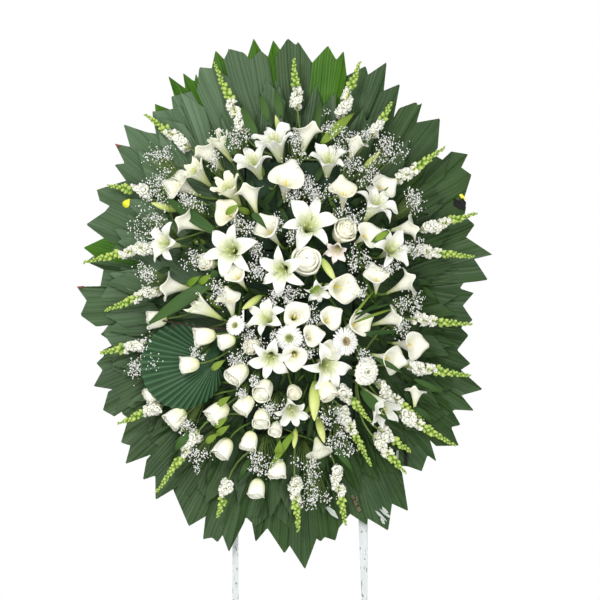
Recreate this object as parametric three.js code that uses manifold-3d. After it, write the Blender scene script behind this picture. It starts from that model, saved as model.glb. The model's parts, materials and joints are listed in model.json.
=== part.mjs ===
// A standing funeral wreath: an oval of trimmed palm leaves and white flowers set in floral foam,
// carried by a leaning timber easel whose pair of rear legs folds forward on a hinge.
//
// Millimetres, +Z up, the front of the wreath faces -Y. Everything except the rear legs is laid out
// in the easel's own plane, which leans back: u runs to the right, v up along the easel and w out
// of it towards the viewer, all from the middle of the wreath on the front face of the rails.
import * as THREE from "three";
import { mergeVertices } from "three/addons/utils/BufferGeometryUtils.js";
import Module from "manifold-3d";

const wasm = await Module();
wasm.setup();

// ---------------------------------------------------------------- driving dimensions
const LEAN = THREE.MathUtils.degToRad(10); // the easel's lean from the vertical
const CENTRE_HEIGHT = 1190; // the middle of the wreath above the floor
const GAP = 0.35; // clearance between pieces that touch

const UPRIGHT_DEPTH = 20;
const UPRIGHT_TOP = 520;
const RAIL = { thick: 12, wide: 40 };
const FRONT_RAILS = [
  // name, height of its middle, left end, right end
  ["rail_upper", 430, -290, 370],
  ["rail_lower", -330, -330, 410],
];
const STAND_MIDDLE = 38; // the stand is a little to the right of the wreath's middle
const HINGED_RAIL = {
  v: 150,
  left: -230,
  right: 310,
  back: -(2 * RAIL.thick + UPRIGHT_DEPTH + 2 * GAP),
};
// The hand-cut edges of the two uprights: height, left edge, right edge.
const LEFT_EDGES = [
  [-1300, -152, -132],
  [-860, -151, -133],
  [-690, -149, -134],
  [UPRIGHT_TOP, -151, -133],
];
const RIGHT_EDGES = [
  [-1300, 215, 228],
  [-860, 214, 229],
  [-620, 205, 230],
  [UPRIGHT_TOP, 205, 230],
];

const REAR_LEG = { wide: 12, thick: 22, spread: THREE.MathUtils.degToRad(25), chin: 8, head: 24 };
const REAR_LEGS = { left: -150, right: 230 };
const REAR_BAR = { below: 36, end: 0.5 };
const HINGE = {
  v: 124,
  w: HINGED_RAIL.back - 5,
  barrel: 5,
  bore: 2.8,
  pin: 2.2,
  plate: 2,
  wide: 60,
  tongue: 10, // half the width of the moving leaf
  tall: 34,
};

const BOARD = { wide: 60, tall: 660 };
const LEAF = { thick: 1.6, layer: 5, tuck: 40, neck: 9, flare: 20, notch: 0.5 };
const TRAY = { back: 16, wall: 2, rim: 50, room: 4 };
const FOAM = { wide: 300, tall: 250, deep: 80, pitch: 256, grip: 32 };

const DOME = { halfWide: 470, halfTall: 600, rim: 70, crown: 220 }; // where the flower heads lie

const STEM_RADIUS = 3.5;
const KNOT_RADIUS = 9;
const RIM = 1.6; // how thick a petal's edge is
const SPIKE_WIDTH = 38;
const SPIKE_SINK = 48; // how far below the dome a snapdragon's lowest floret lies
const WELD = 3; // how deep a stem runs into its flower

// ---------------------------------------------------------------- finishes
const paint = (color, roughness, metalness = 0) =>
  new THREE.MeshStandardMaterial({ color, roughness, metalness });
const WHITE_TIMBER = paint(0xe6e7e3, 0.75);
const ZINC = paint(0x9a9c9e, 0.4, 0.9);
const BLACK_PLASTIC = paint(0x121412, 0.5);
const FOAM_GREEN = paint(0x2f5a3c, 0.95);
const PALM_GREEN = paint(0x2f4f2c, 0.55);
const FAN_GREEN = paint(0x2b5137, 0.5);
const LILY_WHITE = paint(0xf6f7f1, 0.5);
const CALLA_WHITE = paint(0xf7f5e6, 0.4);
const ROSE_WHITE = paint(0xf8f6e8, 0.6);
const GERBERA_WHITE = paint(0xfafaf6, 0.6);
const SNAPDRAGON_GREEN = paint(0xc8d68a, 0.6);

// ---------------------------------------------------------------- geometry helpers
const at = (u, v, w) => new THREE.Vector3(u, -w, v);

// A closed three.js geometry as a manifold-3d solid.
function solidOf(geometry) {
  const bare = (geometry.index ? geometry.toNonIndexed() : geometry).clone();
  bare.deleteAttribute("normal");
  bare.deleteAttribute("uv");
  const merged = mergeVertices(bare, 1e-3);
  const faces = [];
  for (let i = 0; i < merged.index.count; i += 3) {
    const [a, b, c] = [0, 1, 2].map((k) => merged.index.getX(i + k));
    if (a !== b && b !== c && c !== a) faces.push(a, b, c);
  }
  const mesh = new wasm.Mesh({
    numProp: 3,
    vertProperties: merged.attributes.position.array,
    triVerts: new Uint32Array(faces),
  });
  return new wasm.Manifold(mesh);
}

function geometryOf(solid) {
  const mesh = solid.getMesh();
  return new THREE.BufferGeometry()
    .setAttribute("position", new THREE.BufferAttribute(new Float32Array(mesh.vertProperties), 3))
    .setIndex(new THREE.BufferAttribute(new Uint32Array(mesh.triVerts), 1));
}

const joined = (solids) => largest(wasm.Manifold.union(solids));

// The outermost closed surface, without loose crumbs or sealed voids.
const largest = (solid) =>
  solid.decompose().reduce((a, b) => (b.volume() > a.volume() ? b : a));

// A box from its low corner to its high corner in the easel's plane.
function block([u0, u1], [v0, v1], [w0, w1]) {
  const box = new THREE.BoxGeometry(u1 - u0, w1 - w0, v1 - v0);
  const middle = at((u0 + u1) / 2, (v0 + v1) / 2, (w0 + w1) / 2);
  return solidOf(box.translate(middle.x, middle.y, middle.z));
}

// A round bar along u.
function barAlongU(radius, u0, u1, v, w, sides = 16) {
  const bar = new THREE.CylinderGeometry(radius, radius, u1 - u0, sides).rotateZ(Math.PI / 2);
  const middle = at((u0 + u1) / 2, v, w);
  return solidOf(bar.translate(middle.x, middle.y, middle.z));
}

// The height of the flower dome above the rails at one place.
function domeAt(u, v) {
  const outward = (u / DOME.halfWide) ** 2 + (v / DOME.halfTall) ** 2;
  return DOME.rim + (DOME.crown - DOME.rim) * Math.max(0, 1 - outward);
}

// A place on the dome, from where it is seen from straight ahead: across, up, and off the dome.
function onDome(across, up, lift) {
  const w = domeAt(across, up) + lift;
  return at(across, (up - w * Math.sin(LEAN)) / Math.cos(LEAN), w);
}

// The direction a flower looks: heading in the easel's plane, nod away from the viewer.
function facing(heading, nod) {
  const h = THREE.MathUtils.degToRad(heading);
  const n = THREE.MathUtils.degToRad(nod);
  return at(Math.sin(n) * Math.cos(h), Math.sin(n) * Math.sin(h), Math.cos(n)).normalize();
}

// Turns a solid built along +Z round to a direction and moves it to a place.
function placed(solid, place, direction, roll = 0) {
  const turn = new THREE.Quaternion().setFromUnitVectors(new THREE.Vector3(0, 0, 1), direction);
  const matrix = new THREE.Matrix4().makeRotationFromQuaternion(turn).setPosition(place);
  return solid.transform(matrix.multiply(new THREE.Matrix4().makeRotationZ(roll)).elements);
}

// A turned solid along +Z from [radius, height] pairs, its points then moved by warp(point, angle).
function turned(profile, sides, warp) {
  const lathe = new THREE.LatheGeometry(profile.map(([r, h]) => new THREE.Vector2(r, h)), sides);
  lathe.rotateX(Math.PI / 2).rotateZ(Math.PI / 2);
  const points = lathe.attributes.position;
  const p = new THREE.Vector3();
  for (let i = 0; warp && i < points.count; i++) {
    p.fromBufferAttribute(points, i);
    warp(p, Math.atan2(p.y, p.x));
    points.setXYZ(i, p.x, p.y, p.z);
  }
  return solidOf(lathe);
}

// A square stem that leaves its foot, bends, and meets the flower along the flower's axis.
function stem(foot, tip, direction, grow) {
  const elbow = tip.clone().addScaledVector(direction, -0.45 * foot.distanceTo(tip));
  return bentBar(new THREE.QuadraticBezierCurve3(foot, elbow, tip), STEM_RADIUS + grow, 2);
}

function bentBar(path, radius, steps) {
  const corners = [1, 3, 5, 7].map((k) => (k * Math.PI) / 4);
  const section = corners.map((a) => new THREE.Vector2(Math.cos(a), Math.sin(a)));
  section.forEach((corner) => corner.multiplyScalar(radius * Math.SQRT2));
  return solidOf(new THREE.ExtrudeGeometry(new THREE.Shape(section), { steps, extrudePath: path }));
}

// ---------------------------------------------------------------- flower heads
// Each is built with its throat at the origin and opens along +Z. `grow` swells it for clearance.

// Six pointed petals: a twelve-sided funnel whose rim is drawn in between the petals.
function lilyHead(span, grow) {
  const reach = span / 2 + grow;
  const deep = span * 0.42;
  const profile = [
    [0, -deep - 3 * grow],
    [reach * 0.34 + grow, -deep * 0.35 - grow],
    [reach, -RIM - grow],
    [reach, grow],
    [0, -deep * 0.55 + 2 * grow],
  ];
  return turned(profile, 12, (p, angle) => {
    const petal = Math.cos(6 * angle);
    const out = Math.hypot(p.x, p.y) / reach;
    if (out > 0.9 && petal < 0) {
      p.x *= 0.45;
      p.y *= 0.45;
      p.z -= deep * 0.28;
    }
  });
}

// A furled trumpet with a flared, pointed lip on one side.
function callaHead(long, grow) {
  const r = long * 0.3 + grow;
  const profile = [
    [0, -long - 3 * grow],
    [r * 0.42 + grow, -long * 0.5 - grow],
    [r, -RIM - grow],
    [r, grow],
    [0, -long * 0.34 + 2 * grow],
  ];
  return turned(profile, 8, (p, angle) => {
    const lip = p.z > -long * 0.1 ? (1 + Math.cos(angle)) / 2 : 0;
    p.x += long * 0.14 * lip ** 2;
    p.z += long * 0.12 * lip - (p.z > -long * 0.1 ? long * 0.08 * (1 - lip) : 0);
  });
}

// A half-open rose: a cup with a sunk heart.
function roseHead(wide, grow) {
  const r = wide / 2 + grow;
  const tall = wide * 0.95;
  return turned(
    [
      [0, -tall - 2 * grow],
      [r * 0.55 + grow, -tall * 0.93 - grow],
      [r * 0.95 + grow, -tall * 0.55],
      [r, -RIM - grow],
      [r, grow],
      [0, -tall * 0.1 + 2 * grow],
    ],
    8,
  );
}

// A flat daisy with notched ray petals.
function gerberaHead(wide, grow) {
  const r = wide / 2 + grow;
  const profile = [
    [0, -14 - grow],
    [r, -3 - grow],
    [r, 1 + grow],
    [0, 5 + grow],
  ];
  return turned(profile, 22, (p, angle) => {
    const notch = Math.hypot(p.x, p.y) > r * 0.9 && Math.cos(11 * angle) < 0 ? 0.86 : 1;
    p.x *= notch;
    p.y *= notch;
  });
}

// A lily bud, or with its tip as the head of a snapdragon: a spindle from the origin back along -Z.
function spindle(long, fat, grow, sides = 6) {
  const r = fat / 2 + grow;
  return turned(
    [
      [0, -long - grow],
      [r, -long * 0.75],
      [r * 0.7, -long * 0.3],
      [0, 2 * grow],
    ],
    sides,
  );
}

// ---------------------------------------------------------------- the planting plan
// A flower is [kind, across, up, lift off the dome, heading, nod, size], placed as it is seen from
// straight ahead. Size is a lily's span, a calla's or a bud's length, or the width of a rose or
// gerbera. A spike is a snapdragon: [across, up of its lowest floret, across, up of its tip]. The
// stems of a bunch meet at its root, [u, v, w], against the foam.
const BUNCHES = {
  snapdragon_bunch_1: {
    root: [60, 394, 78],
    spikes: [
      [-128, 480, -208, 692],
      [32, 545, 20, 695],
      [142, 520, 208, 682],
      [262, 475, 308, 570],
    ],
  },
  snapdragon_bunch_2: {
    root: [-124, 230, 72],
    spikes: [
      [-290, 432, -398, 537],
      [-385, 315, -508, 328],
      [-385, 155, -567, 110],
    ],
  },
  snapdragon_bunch_3: {
    root: [-124, -60, 62],
    spikes: [
      [-375, 34, -512, -26],
      [-392, -112, -514, -146],
      [-362, -300, -480, -345],
    ],
  },
  snapdragon_bunch_4: {
    root: [200, 230, 72],
    spikes: [
      [318, 333, 460, 443],
      [390, 200, 538, 249],
      [368, 146, 528, 122],
    ],
  },
  snapdragon_bunch_5: {
    root: [200, -200, 72],
    spikes: [
      [362, -48, 520, -64],
      [342, -182, 502, -210],
      [265, -238, 385, -336],
      [330, -315, 470, -405],
      [242, -382, 336, -480],
      [145, -235, 238, -336],
      [262, -352, 350, -424],
    ],
  },
  snapdragon_bunch_6: {
    root: [30, -394, 78],
    spikes: [
      [-246, -380, -360, -536],
      [-160, -490, -194, -604],
      [22, -490, 34, -645],
      [136, -462, 170, -626],
      [160, -300, 240, -460],
    ],
  },
  lily_stem_1: {
    root: [-35, 300, 108],
    flowers: [
      ["lily", -22, 452, 10, 95, 60, 162],
      ["lily", -98, 408, 0, 122, 52, 162],
      ["bud", -32, 522, -15, 100, 70, 95],
    ],
  },
  lily_stem_2: {
    root: [-85, 215, 108],
    flowers: [
      ["lily", -168, 335, 0, 125, 50, 144],
      ["lily", -272, 368, 0, 150, 70, 126],
      ["lily", -190, 462, -8, 122, 72, 110],
    ],
  },
  lily_stem_3: {
    root: [-90, 105, 108],
    flowers: [
      ["lily", -352, 172, 0, 180, 60, 144],
      ["lily", -165, 150, 12, 205, 24, 174],
      ["bud", -380, 279, -5, 162, 75, 65],
    ],
  },
  lily_stem_4: {
    root: [15, 140, 112],
    flowers: [
      ["lily", 60, 215, 12, 80, 18, 174],
      ["lily", -18, 88, 14, 225, 30, 168],
      ["lily", 92, 18, 2, -84, 60, 114],
      ["bud", 140, 62, 8, -58, 60, 75],
    ],
  },
  lily_stem_5: {
    root: [125, 270, 108],
    flowers: [
      ["lily", 262, 292, 4, 45, 50, 168],
      ["lily", 120, 420, 4, 78, 60, 138],
      ["lily", 315, 138, 4, 0, 45, 150],
      ["bud", 266, 424, 0, 46, 70, 72],
    ],
  },
  lily_stem_6: {
    root: [-40, -70, 108],
    flowers: [
      ["lily", -62, -30, 4, 128, 34, 144],
      ["lily", -45, -178, 6, 262, 36, 144],
      ["bud", -120, -25, 4, 222, 60, 70],
      ["bud", -292, 2, 0, 163, 78, 110],
    ],
  },
  lily_stem_7: {
    root: [90, -200, 108],
    flowers: [
      ["lily", 125, -188, 8, -35, 30, 168],
      ["lily", 18, -325, 0, -76, 64, 126],
      ["lily", 290, -325, 0, -52, 64, 156],
      ["bud", 80, -312, 10, -90, 70, 92],
    ],
  },
  calla_bunch_1: {
    root: [-122, 300, 78],
    flowers: [
      ["calla", -335, 335, -8, 168, 78, 98],
      ["calla", -240, 438, -14, 138, 76, 88],
      ["calla", -105, 325, 12, 108, 58, 92],
      ["calla", -190, 264, 0, 160, 68, 92],
    ],
  },
  calla_bunch_2: {
    root: [-122, 40, 78],
    flowers: [
      ["calla", -308, 238, -6, 158, 76, 100],
      ["calla", -345, 42, -6, 176, 72, 100],
      ["calla", -160, 30, -2, 235, 60, 90],
      ["calla", -150, 87, 2, 130, 58, 72],
      ["rose", -397, -55, -12, 186, 72, 62],
    ],
  },
  calla_bunch_3: {
    root: [25, 350, 108],
    flowers: [
      ["calla", 64, 505, 0, 85, 74, 96],
      ["calla", 12, 362, 18, 66, 36, 104],
      ["calla", -64, 222, 6, 128, 36, 92],
    ],
  },
  calla_bunch_4: {
    root: [160, 345, 110],
    flowers: [
      ["calla", 202, 475, 0, 76, 72, 92],
      ["calla", 163, 328, 6, 82, 52, 90],
      ["calla", 302, 345, -30, 42, 74, 88],
    ],
  },
  calla_bunch_5: {
    root: [200, 140, 78],
    flowers: [
      ["calla", 376, 206, -4, -12, 74, 96],
      ["calla", 252, 190, 4, 18, 52, 86],
      ["calla", 250, 92, 4, 105, 60, 86],
      ["calla", 372, 58, -2, 14, 74, 100],
      ["rose", 62, 118, 8, -20, 15, 92],
      ["rose", 160, 208, 4, 40, 16, 84],
    ],
  },
  calla_bunch_6: {
    root: [160, -60, 108],
    flowers: [
      ["calla", 338, -38, -2, 12, 74, 100],
      ["calla", 230, -58, 6, 4, 72, 92],
      ["calla", 182, 34, 10, 16, 24, 90],
      ["calla", 385, -130, -6, -8, 76, 92],
      ["calla", 318, -172, 4, -24, 70, 96],
      ["calla", 370, -243, -8, 97, 70, 70],
      ["gerbera", 170, -112, 8, 0, 18, 78],
    ],
  },
  calla_bunch_7: {
    root: [65, -90, 112],
    flowers: [
      ["calla", 36, -30, 12, 20, 15, 82],
      ["calla", 138, -44, 6, 0, 26, 78],
      ["calla", 87, -92, 4, 10, 34, 62],
      ["calla", 133, -136, 0, 0, 40, 60],
      ["calla", 24, -166, 8, -64, 22, 80],
    ],
  },
  rose_bunch_1: {
    root: [-122, -110, 78],
    flowers: [
      ["rose", -262, -96, 8, 168, 52, 68],
      ["rose", -190, -116, 2, 176, 56, 56],
      ["rose", -108, -132, 2, 150, 45, 52],
      ["rose", -302, -182, 10, 182, 72, 62],
      ["rose", -158, -224, 4, 226, 48, 68],
    ],
  },
  rose_bunch_2: {
    root: [-85, -270, 108],
    flowers: [
      ["rose", -72, -268, 4, 240, 46, 66],
      ["rose", -136, -316, 0, 230, 62, 62],
      ["rose", -218, -338, 0, 226, 58, 68],
      ["rose", -334, -356, -6, 225, 68, 66],
    ],
  },
  rose_bunch_3: {
    root: [-40, -350, 108],
    flowers: [
      ["rose", -72, -360, 0, 266, 66, 54],
      ["rose", -114, -424, 0, 250, 72, 56],
      ["rose", -196, -446, 0, 240, 68, 64],
      ["rose", -26, -510, 0, 266, 76, 54],
      ["rose", -88, -566, 0, 260, 76, 56],
      ["calla", 100, -448, 0, -70, 74, 96],
    ],
  },
  gerbera_bunch: {
    root: [-30, -30, 108],
    flowers: [
      ["gerbera", 10, -100, 10, 270, 10, 84],
      ["gerbera", -132, -72, 2, 170, 32, 66],
    ],
  },
};

// Palm leaves, clockwise from the top: each one's layer in the overlapping collar, counted from the
// rails, and the points of its trimmed edge as they are seen from straight ahead.
const PALM_LEAVES = [
  [0, [-37, 746], [5, 753], [37, 742], [80, 700]],
  [1, [85, 700], [120, 732], [167, 715], [227, 673], [288, 683]],
  [2, [327, 620], [372, 568], [390, 563], [440, 519], [455, 470]],
  [0, [480, 430], [519, 417], [529, 359], [505, 310]],
  [1, [510, 270], [537, 214], [587, 131], [575, 60]],
  [2, [533, 24], [530, -56], [517, -97], [522, -177]],
  [0, [558, -251], [530, -310], [493, -350], [488, -408]],
  [1, [440, -440], [425, -453], [382, -482], [350, -540]],
  [2, [345, -593], [298, -608], [288, -648], [230, -632]],
  [0, [180, -640], [140, -675], [100, -680], [54, -754]],
  [1, [-5, -710], [-85, -678], [-160, -708], [-192, -680], [-233, -672]],
  [2, [-272, -635], [-310, -580], [-367, -562], [-402, -506]],
  [0, [-453, -462], [-467, -400], [-483, -330], [-517, -308]],
  [1, [-544, -242], [-539, -174], [-526, -94]],
  [2, [-583, -41], [-593, 40], [-565, 80]],
  [0, [-575, 150], [-570, 218], [-530, 270]],
  [1, [-540, 315], [-489, 388], [-487, 448]],
  [2, [-465, 503], [-382, 540], [-339, 644], [-296, 653]],
  [1, [-247, 668], [-202, 716], [-164, 723], [-93, 752]],
];

const FAN_LEAF = { u: -290, v: -182, wide: 117, tall: 122, hubU: -180, hubV: -160, w: 84, ribs: 15 };

// ---------------------------------------------------------------- timber easel
// An upright batten from its edges, [v, left, right] up the easel, cut level at the floor.
function upright(edges) {
  const outline = edges.map(([v, left]) => [left, v]);
  outline.push(...[...edges].reverse().map(([v, , right]) => [right, v]));
  const shape = new THREE.Shape(outline.map(([u, v]) => new THREE.Vector2(u, v)));
  const plank = new THREE.ExtrudeGeometry(shape, { depth: UPRIGHT_DEPTH, bevelEnabled: false });
  plank.rotateX(Math.PI / 2).translate(0, RAIL.thick + GAP + UPRIGHT_DEPTH, 0);
  const ground = new THREE.BoxGeometry(900, 1600, 400).translate(0, 0, -200);
  ground.translate(0, 0, -CENTRE_HEIGHT).rotateX(LEAN);
  return solidOf(plank).subtract(solidOf(ground));
}

function rail(v, left, right, back) {
  return block([left, right], [v - RAIL.wide / 2, v + RAIL.wide / 2], [back, back + RAIL.thick]);
}

// A batten of the rear frame between two places across, down to the floor or a short way below the
// hinge. When folded it lies parallel to the easel. Its head is cut back so that it meets the
// hinge's fixed leaf, and stops, when the frame is swung out by its full spread.
function rearBatten(u0, u1, below) {
  const front = HINGE.w - HINGE.barrel - GAP;
  const back = front - REAR_LEG.thick;
  const tilt = REAR_LEG.spread - LEAN;
  const height = CENTRE_HEIGHT + HINGE.w * Math.sin(LEAN) + HINGE.v * Math.cos(LEAN);
  const toFloor = (w) => (height + (HINGE.w - w) * Math.sin(tilt)) / Math.cos(tilt);
  const reach = below ? () => below : toFloor;
  const stop = HINGE.w - HINGED_RAIL.back + HINGE.plate + 2 * GAP;
  const headFace = (up) =>
    HINGE.w - (stop + up * Math.sin(REAR_LEG.spread)) / Math.cos(REAR_LEG.spread);
  const profile = new THREE.Shape();
  profile.moveTo(front, HINGE.v - reach(front));
  profile.lineTo(front, HINGE.v + REAR_LEG.chin);
  profile.lineTo(headFace(REAR_LEG.chin), HINGE.v + REAR_LEG.chin);
  profile.lineTo(headFace(REAR_LEG.head), HINGE.v + REAR_LEG.head);
  profile.lineTo(back, HINGE.v + REAR_LEG.head);
  profile.lineTo(back, HINGE.v - reach(back));
  const timber = new THREE.ExtrudeGeometry(profile, { depth: u1 - u0, bevelEnabled: false });
  // the profile is drawn with w across and v up: turn it to face along u
  const turn = new THREE.Matrix4().makeBasis(at(0, 0, 1), at(0, 1, 0), at(-1, 0, 0));
  return solidOf(timber).transform(turn.setPosition(at(u1, 0, 0)).elements);
}

const rearLeg = (u) => rearBatten(u - REAR_LEG.wide / 2, u + REAR_LEG.wide / 2);

const rearBar = () =>
  rearBatten(
    REAR_LEGS.left + REAR_LEG.wide / 2 + REAR_BAR.end,
    REAR_LEGS.right - REAR_LEG.wide / 2 - REAR_BAR.end,
    REAR_BAR.below,
  );

const knuckle = (u0, u1) =>
  barAlongU(HINGE.barrel, u0, u1, HINGE.v, HINGE.w).subtract(
    barAlongU(HINGE.bore, u0 - 1, u1 + 1, HINGE.v, HINGE.w),
  );

function hingeFixedLeaf() {
  const u = STAND_MIDDLE;
  const half = HINGE.wide / 2;
  const face = HINGED_RAIL.back - GAP;
  const top = HINGED_RAIL.v + 15;
  const plate = block([u - half, u + half], [HINGE.v, top], [face - HINGE.plate, face]);
  const inner = HINGE.tongue + GAP;
  const slot = block([u - inner, u + inner], [HINGE.v - 6, HINGE.v + 6.5], [HINGE.w - 9, face + 9]);
  const bore = barAlongU(HINGE.barrel - 1, u - half - 1, u + half + 1, HINGE.v, HINGE.w);
  return joined([
    plate.subtract(slot).subtract(bore),
    knuckle(u - half, u - inner),
    knuckle(u + inner, u + half),
  ]);
}

function hingeMovingLeaf() {
  const u = STAND_MIDDLE;
  const back = HINGE.w - HINGE.barrel;
  const [left, right] = [u - HINGE.tongue, u + HINGE.tongue];
  const plate = block([left, right], [HINGE.v - HINGE.tall, HINGE.v], [back, back + HINGE.plate]);
  const bore = barAlongU(HINGE.barrel - 1, left - 1, right + 1, HINGE.v, HINGE.w);
  return joined([plate.subtract(bore), knuckle(left, right)]);
}

const hingePin = () => {
  const half = HINGE.wide / 2 + 3;
  return barAlongU(HINGE.pin, STAND_MIDDLE - half, STAND_MIDDLE + half, HINGE.v, HINGE.w, 12);
};

// ---------------------------------------------------------------- foam and tray
const FOAM_BACK = TRAY.back + TRAY.wall + GAP;
const FOAM_FACE = FOAM_BACK + FOAM.deep;
const foamMiddles = [FOAM.pitch, 0, -FOAM.pitch];

function foamBlock(v, grow) {
  const [half, tall] = [FOAM.wide / 2 + grow, FOAM.tall / 2 + grow];
  return block(
    [STAND_MIDDLE - half, STAND_MIDDLE + half],
    [v - tall, v + tall],
    [FOAM_BACK - grow, FOAM_FACE + grow],
  );
}

function foamTray() {
  const box = (spread, low, high) => {
    const half = FOAM.wide / 2 + TRAY.room + spread;
    const tall = FOAM.pitch + FOAM.tall / 2 + TRAY.room + spread;
    return block([STAND_MIDDLE - half, STAND_MIDDLE + half], [-tall, tall], [low, high]);
  };
  return box(TRAY.wall, TRAY.back, TRAY.rim).subtract(box(0, TRAY.back + TRAY.wall, TRAY.rim + 9));
}

// The board that carries the tray on the rails; the leaves' necks lie on either side of it.
function backingBoard() {
  const half = BOARD.wide / 2;
  return block(
    [STAND_MIDDLE - half, STAND_MIDDLE + half],
    [-BOARD.tall / 2, BOARD.tall / 2],
    [GAP, TRAY.back - GAP],
  );
}

// ---------------------------------------------------------------- leaves
// A flat palm leaf from its neck, tucked behind the tray, to its trimmed edge.
function palmLeaf(layer, tips, grow) {
  const count = tips.length;
  const sum = tips.reduce(([a, b], [u, v]) => [a + u, b + v], [0, 0]);
  const out = new THREE.Vector2(sum[0] / count - STAND_MIDDLE, sum[1] / count).normalize();
  const side = new THREE.Vector2(out.y, -out.x);
  const origin = new THREE.Vector2(STAND_MIDDLE, 0);
  const edge = tips.map(([across, up]) => new THREE.Vector2(across, up / Math.cos(LEAN)).sub(origin));
  const points = edge.map((p) => new THREE.Vector2(p.dot(side), p.dot(out)));
  const trayEdge = Math.min(
    (FOAM.wide / 2 + TRAY.room) / Math.abs(out.x),
    (FOAM.pitch + FOAM.tall / 2 + TRAY.room) / Math.abs(out.y),
  );
  const neck = trayEdge + LEAF.flare;
  const flank = (p, wide, share) => new THREE.Vector2(wide, THREE.MathUtils.lerp(neck, p.y, share));
  const first = points[0];
  const last = points[count - 1];
  const outline = [new THREE.Vector2(-LEAF.neck, trayEdge - LEAF.tuck)];
  outline.push(new THREE.Vector2(-LEAF.neck, neck));
  outline.push(flank(first, first.x * 0.8 - 12, 0.35));
  outline.push(flank(first, first.x - 30, 0.7));
  points.forEach((p, i) => {
    outline.push(p);
    const next = points[i + 1];
    if (!next) return;
    const deep = LEAF.notch * Math.min(80, p.distanceTo(next));
    outline.push(p.clone().lerp(next, 0.5).sub(new THREE.Vector2(0, deep)));
  });
  outline.push(flank(last, last.x + 30, 0.7));
  outline.push(flank(last, last.x * 0.8 + 12, 0.35));
  outline.push(new THREE.Vector2(LEAF.neck, neck));
  outline.push(new THREE.Vector2(LEAF.neck, trayEdge - LEAF.tuck));
  const blade = new THREE.ExtrudeGeometry(new THREE.Shape(outline), {
    depth: LEAF.thick + 2 * grow,
    bevelEnabled: false,
  });
  const plane = new THREE.Matrix4().makeBasis(
    at(side.x, side.y, 0),
    at(out.x, out.y, 0),
    at(0, 0, 1),
  );
  const low = at(STAND_MIDDLE, 0, GAP + layer * LEAF.layer - grow);
  return solidOf(blade).transform(plane.setPosition(low).elements);
}

// A round fan leaf, pleated from its hub.
function fanLeaf(grow) {
  const { u, v, wide, tall, hubU, hubV, w, ribs } = FAN_LEAF;
  const rings = [];
  for (let i = 0; i <= 2 * ribs; i++) {
    const a = (i / (2 * ribs)) * 2 * Math.PI;
    const pleat = i % 2 ? 4 : -4;
    rings.push(at(u + wide * Math.cos(a), v + tall * Math.sin(a), w - 14 + pleat));
  }
  const hub = at(hubU, hubV, w);
  const lift = at(0, 0, LEAF.thick + 2 * grow);
  const drop = at(0, 0, -grow);
  const points = [];
  const face = (a, b, c) => [a, b, c].forEach((p) => points.push(p.x, p.y, p.z));
  for (let i = 0; i < 2 * ribs; i++) {
    const [a, b] = [rings[i], rings[(i + 1) % (2 * ribs)]].map((p) => p.clone().add(drop));
    const h = hub.clone().add(drop);
    const [A, B, H] = [a, b, h].map((p) => p.clone().add(lift));
    face(h, b, a);
    face(H, A, B);
    face(a, b, B);
    face(a, B, A);
  }
  const shell = new THREE.BufferGeometry().setAttribute(
    "position",
    new THREE.BufferAttribute(new Float32Array(points), 3),
  );
  const stalk = new THREE.LineCurve3(hub, pegEnd([hubU, hubV, w]));
  return joined([solidOf(shell), bentBar(stalk, STEM_RADIUS + grow, 1)]);
}

// ---------------------------------------------------------------- planting
const HEADS = {
  lily: lilyHead,
  calla: callaHead,
  rose: roseHead,
  gerbera: gerberaHead,
  bud: (long, grow) => spindle(long, long * 0.26, grow),
};
const THROAT = { lily: 0.42, calla: 1, rose: 0.95, gerbera: 0, bud: 1 }; // base below the face, of size

function flower([kind, across, up, lift, heading, nod, size], foot, grow) {
  const direction = facing(heading, nod);
  const place = onDome(across, up, lift);
  const base = place.clone().addScaledVector(direction, WELD - THROAT[kind] * size);
  const roll = THREE.MathUtils.degToRad(heading);
  const head = placed(HEADS[kind](size, grow), place, direction, roll);
  return joined([head, stem(foot, base, direction, grow)]);
}

function spike([across, up, tipAcross, tipUp], foot, grow) {
  const low = onDome(across, up, -SPIKE_SINK);
  const tip = onDome(tipAcross, tipUp, -SPIKE_SINK / 3);
  const direction = tip.clone().sub(low).normalize();
  const head = placed(spindle(low.distanceTo(tip), SPIKE_WIDTH, grow), tip, direction);
  return joined([head, stem(foot, low.clone().addScaledVector(direction, WELD), direction, grow)]);
}

// Flowers whose stems meet in one peg, which is pushed into the nearest face of the foam.
function bunch({ root, flowers = [], spikes = [] }, grow) {
  const foot = at(...root);
  const knot = new THREE.IcosahedronGeometry(KNOT_RADIUS + grow, 0);
  const peg = bentBar(new THREE.LineCurve3(foot, pegEnd(root)), KNOT_RADIUS * 0.7 + grow, 1);
  return joined([
    solidOf(knot.translate(foot.x, foot.y, foot.z)),
    peg,
    ...flowers.map((f) => flower(f, foot, grow)),
    ...spikes.map((s) => spike(s, foot, grow)),
  ]);
}

function pegEnd(root) {
  const half = FOAM.wide / 2 - FOAM.grip;
  const tall = FOAM.pitch + FOAM.tall / 2 - FOAM.grip;
  const core = new THREE.Box3(
    new THREE.Vector3(STAND_MIDDLE - half, -tall, FOAM_BACK + FOAM.grip),
    new THREE.Vector3(STAND_MIDDLE + half, tall, FOAM_FACE - FOAM.grip),
  );
  const end = core.clampPoint(new THREE.Vector3(...root), new THREE.Vector3());
  return at(end.x, end.y, end.z);
}

// ---------------------------------------------------------------- assembly
const wreath = new THREE.Group();
const easel = new THREE.Group();
easel.rotation.x = -LEAN;
easel.position.z = CENTRE_HEIGHT;
wreath.add(easel);
const swing = new THREE.Group(); // turns about the hinge
swing.position.copy(at(0, HINGE.v, HINGE.w));
swing.rotation.x = REAR_LEG.spread;
easel.add(swing);

const rooms = []; // what each piece already placed keeps clear for itself

// Cuts a piece clear of those placed before it, which lie against it.
function clearOf(solid) {
  for (const room of rooms) {
    if (solid.intersect(room).volume() > 0) solid = largest(solid.subtract(room).simplify(0.05));
  }
  return solid;
}

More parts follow.
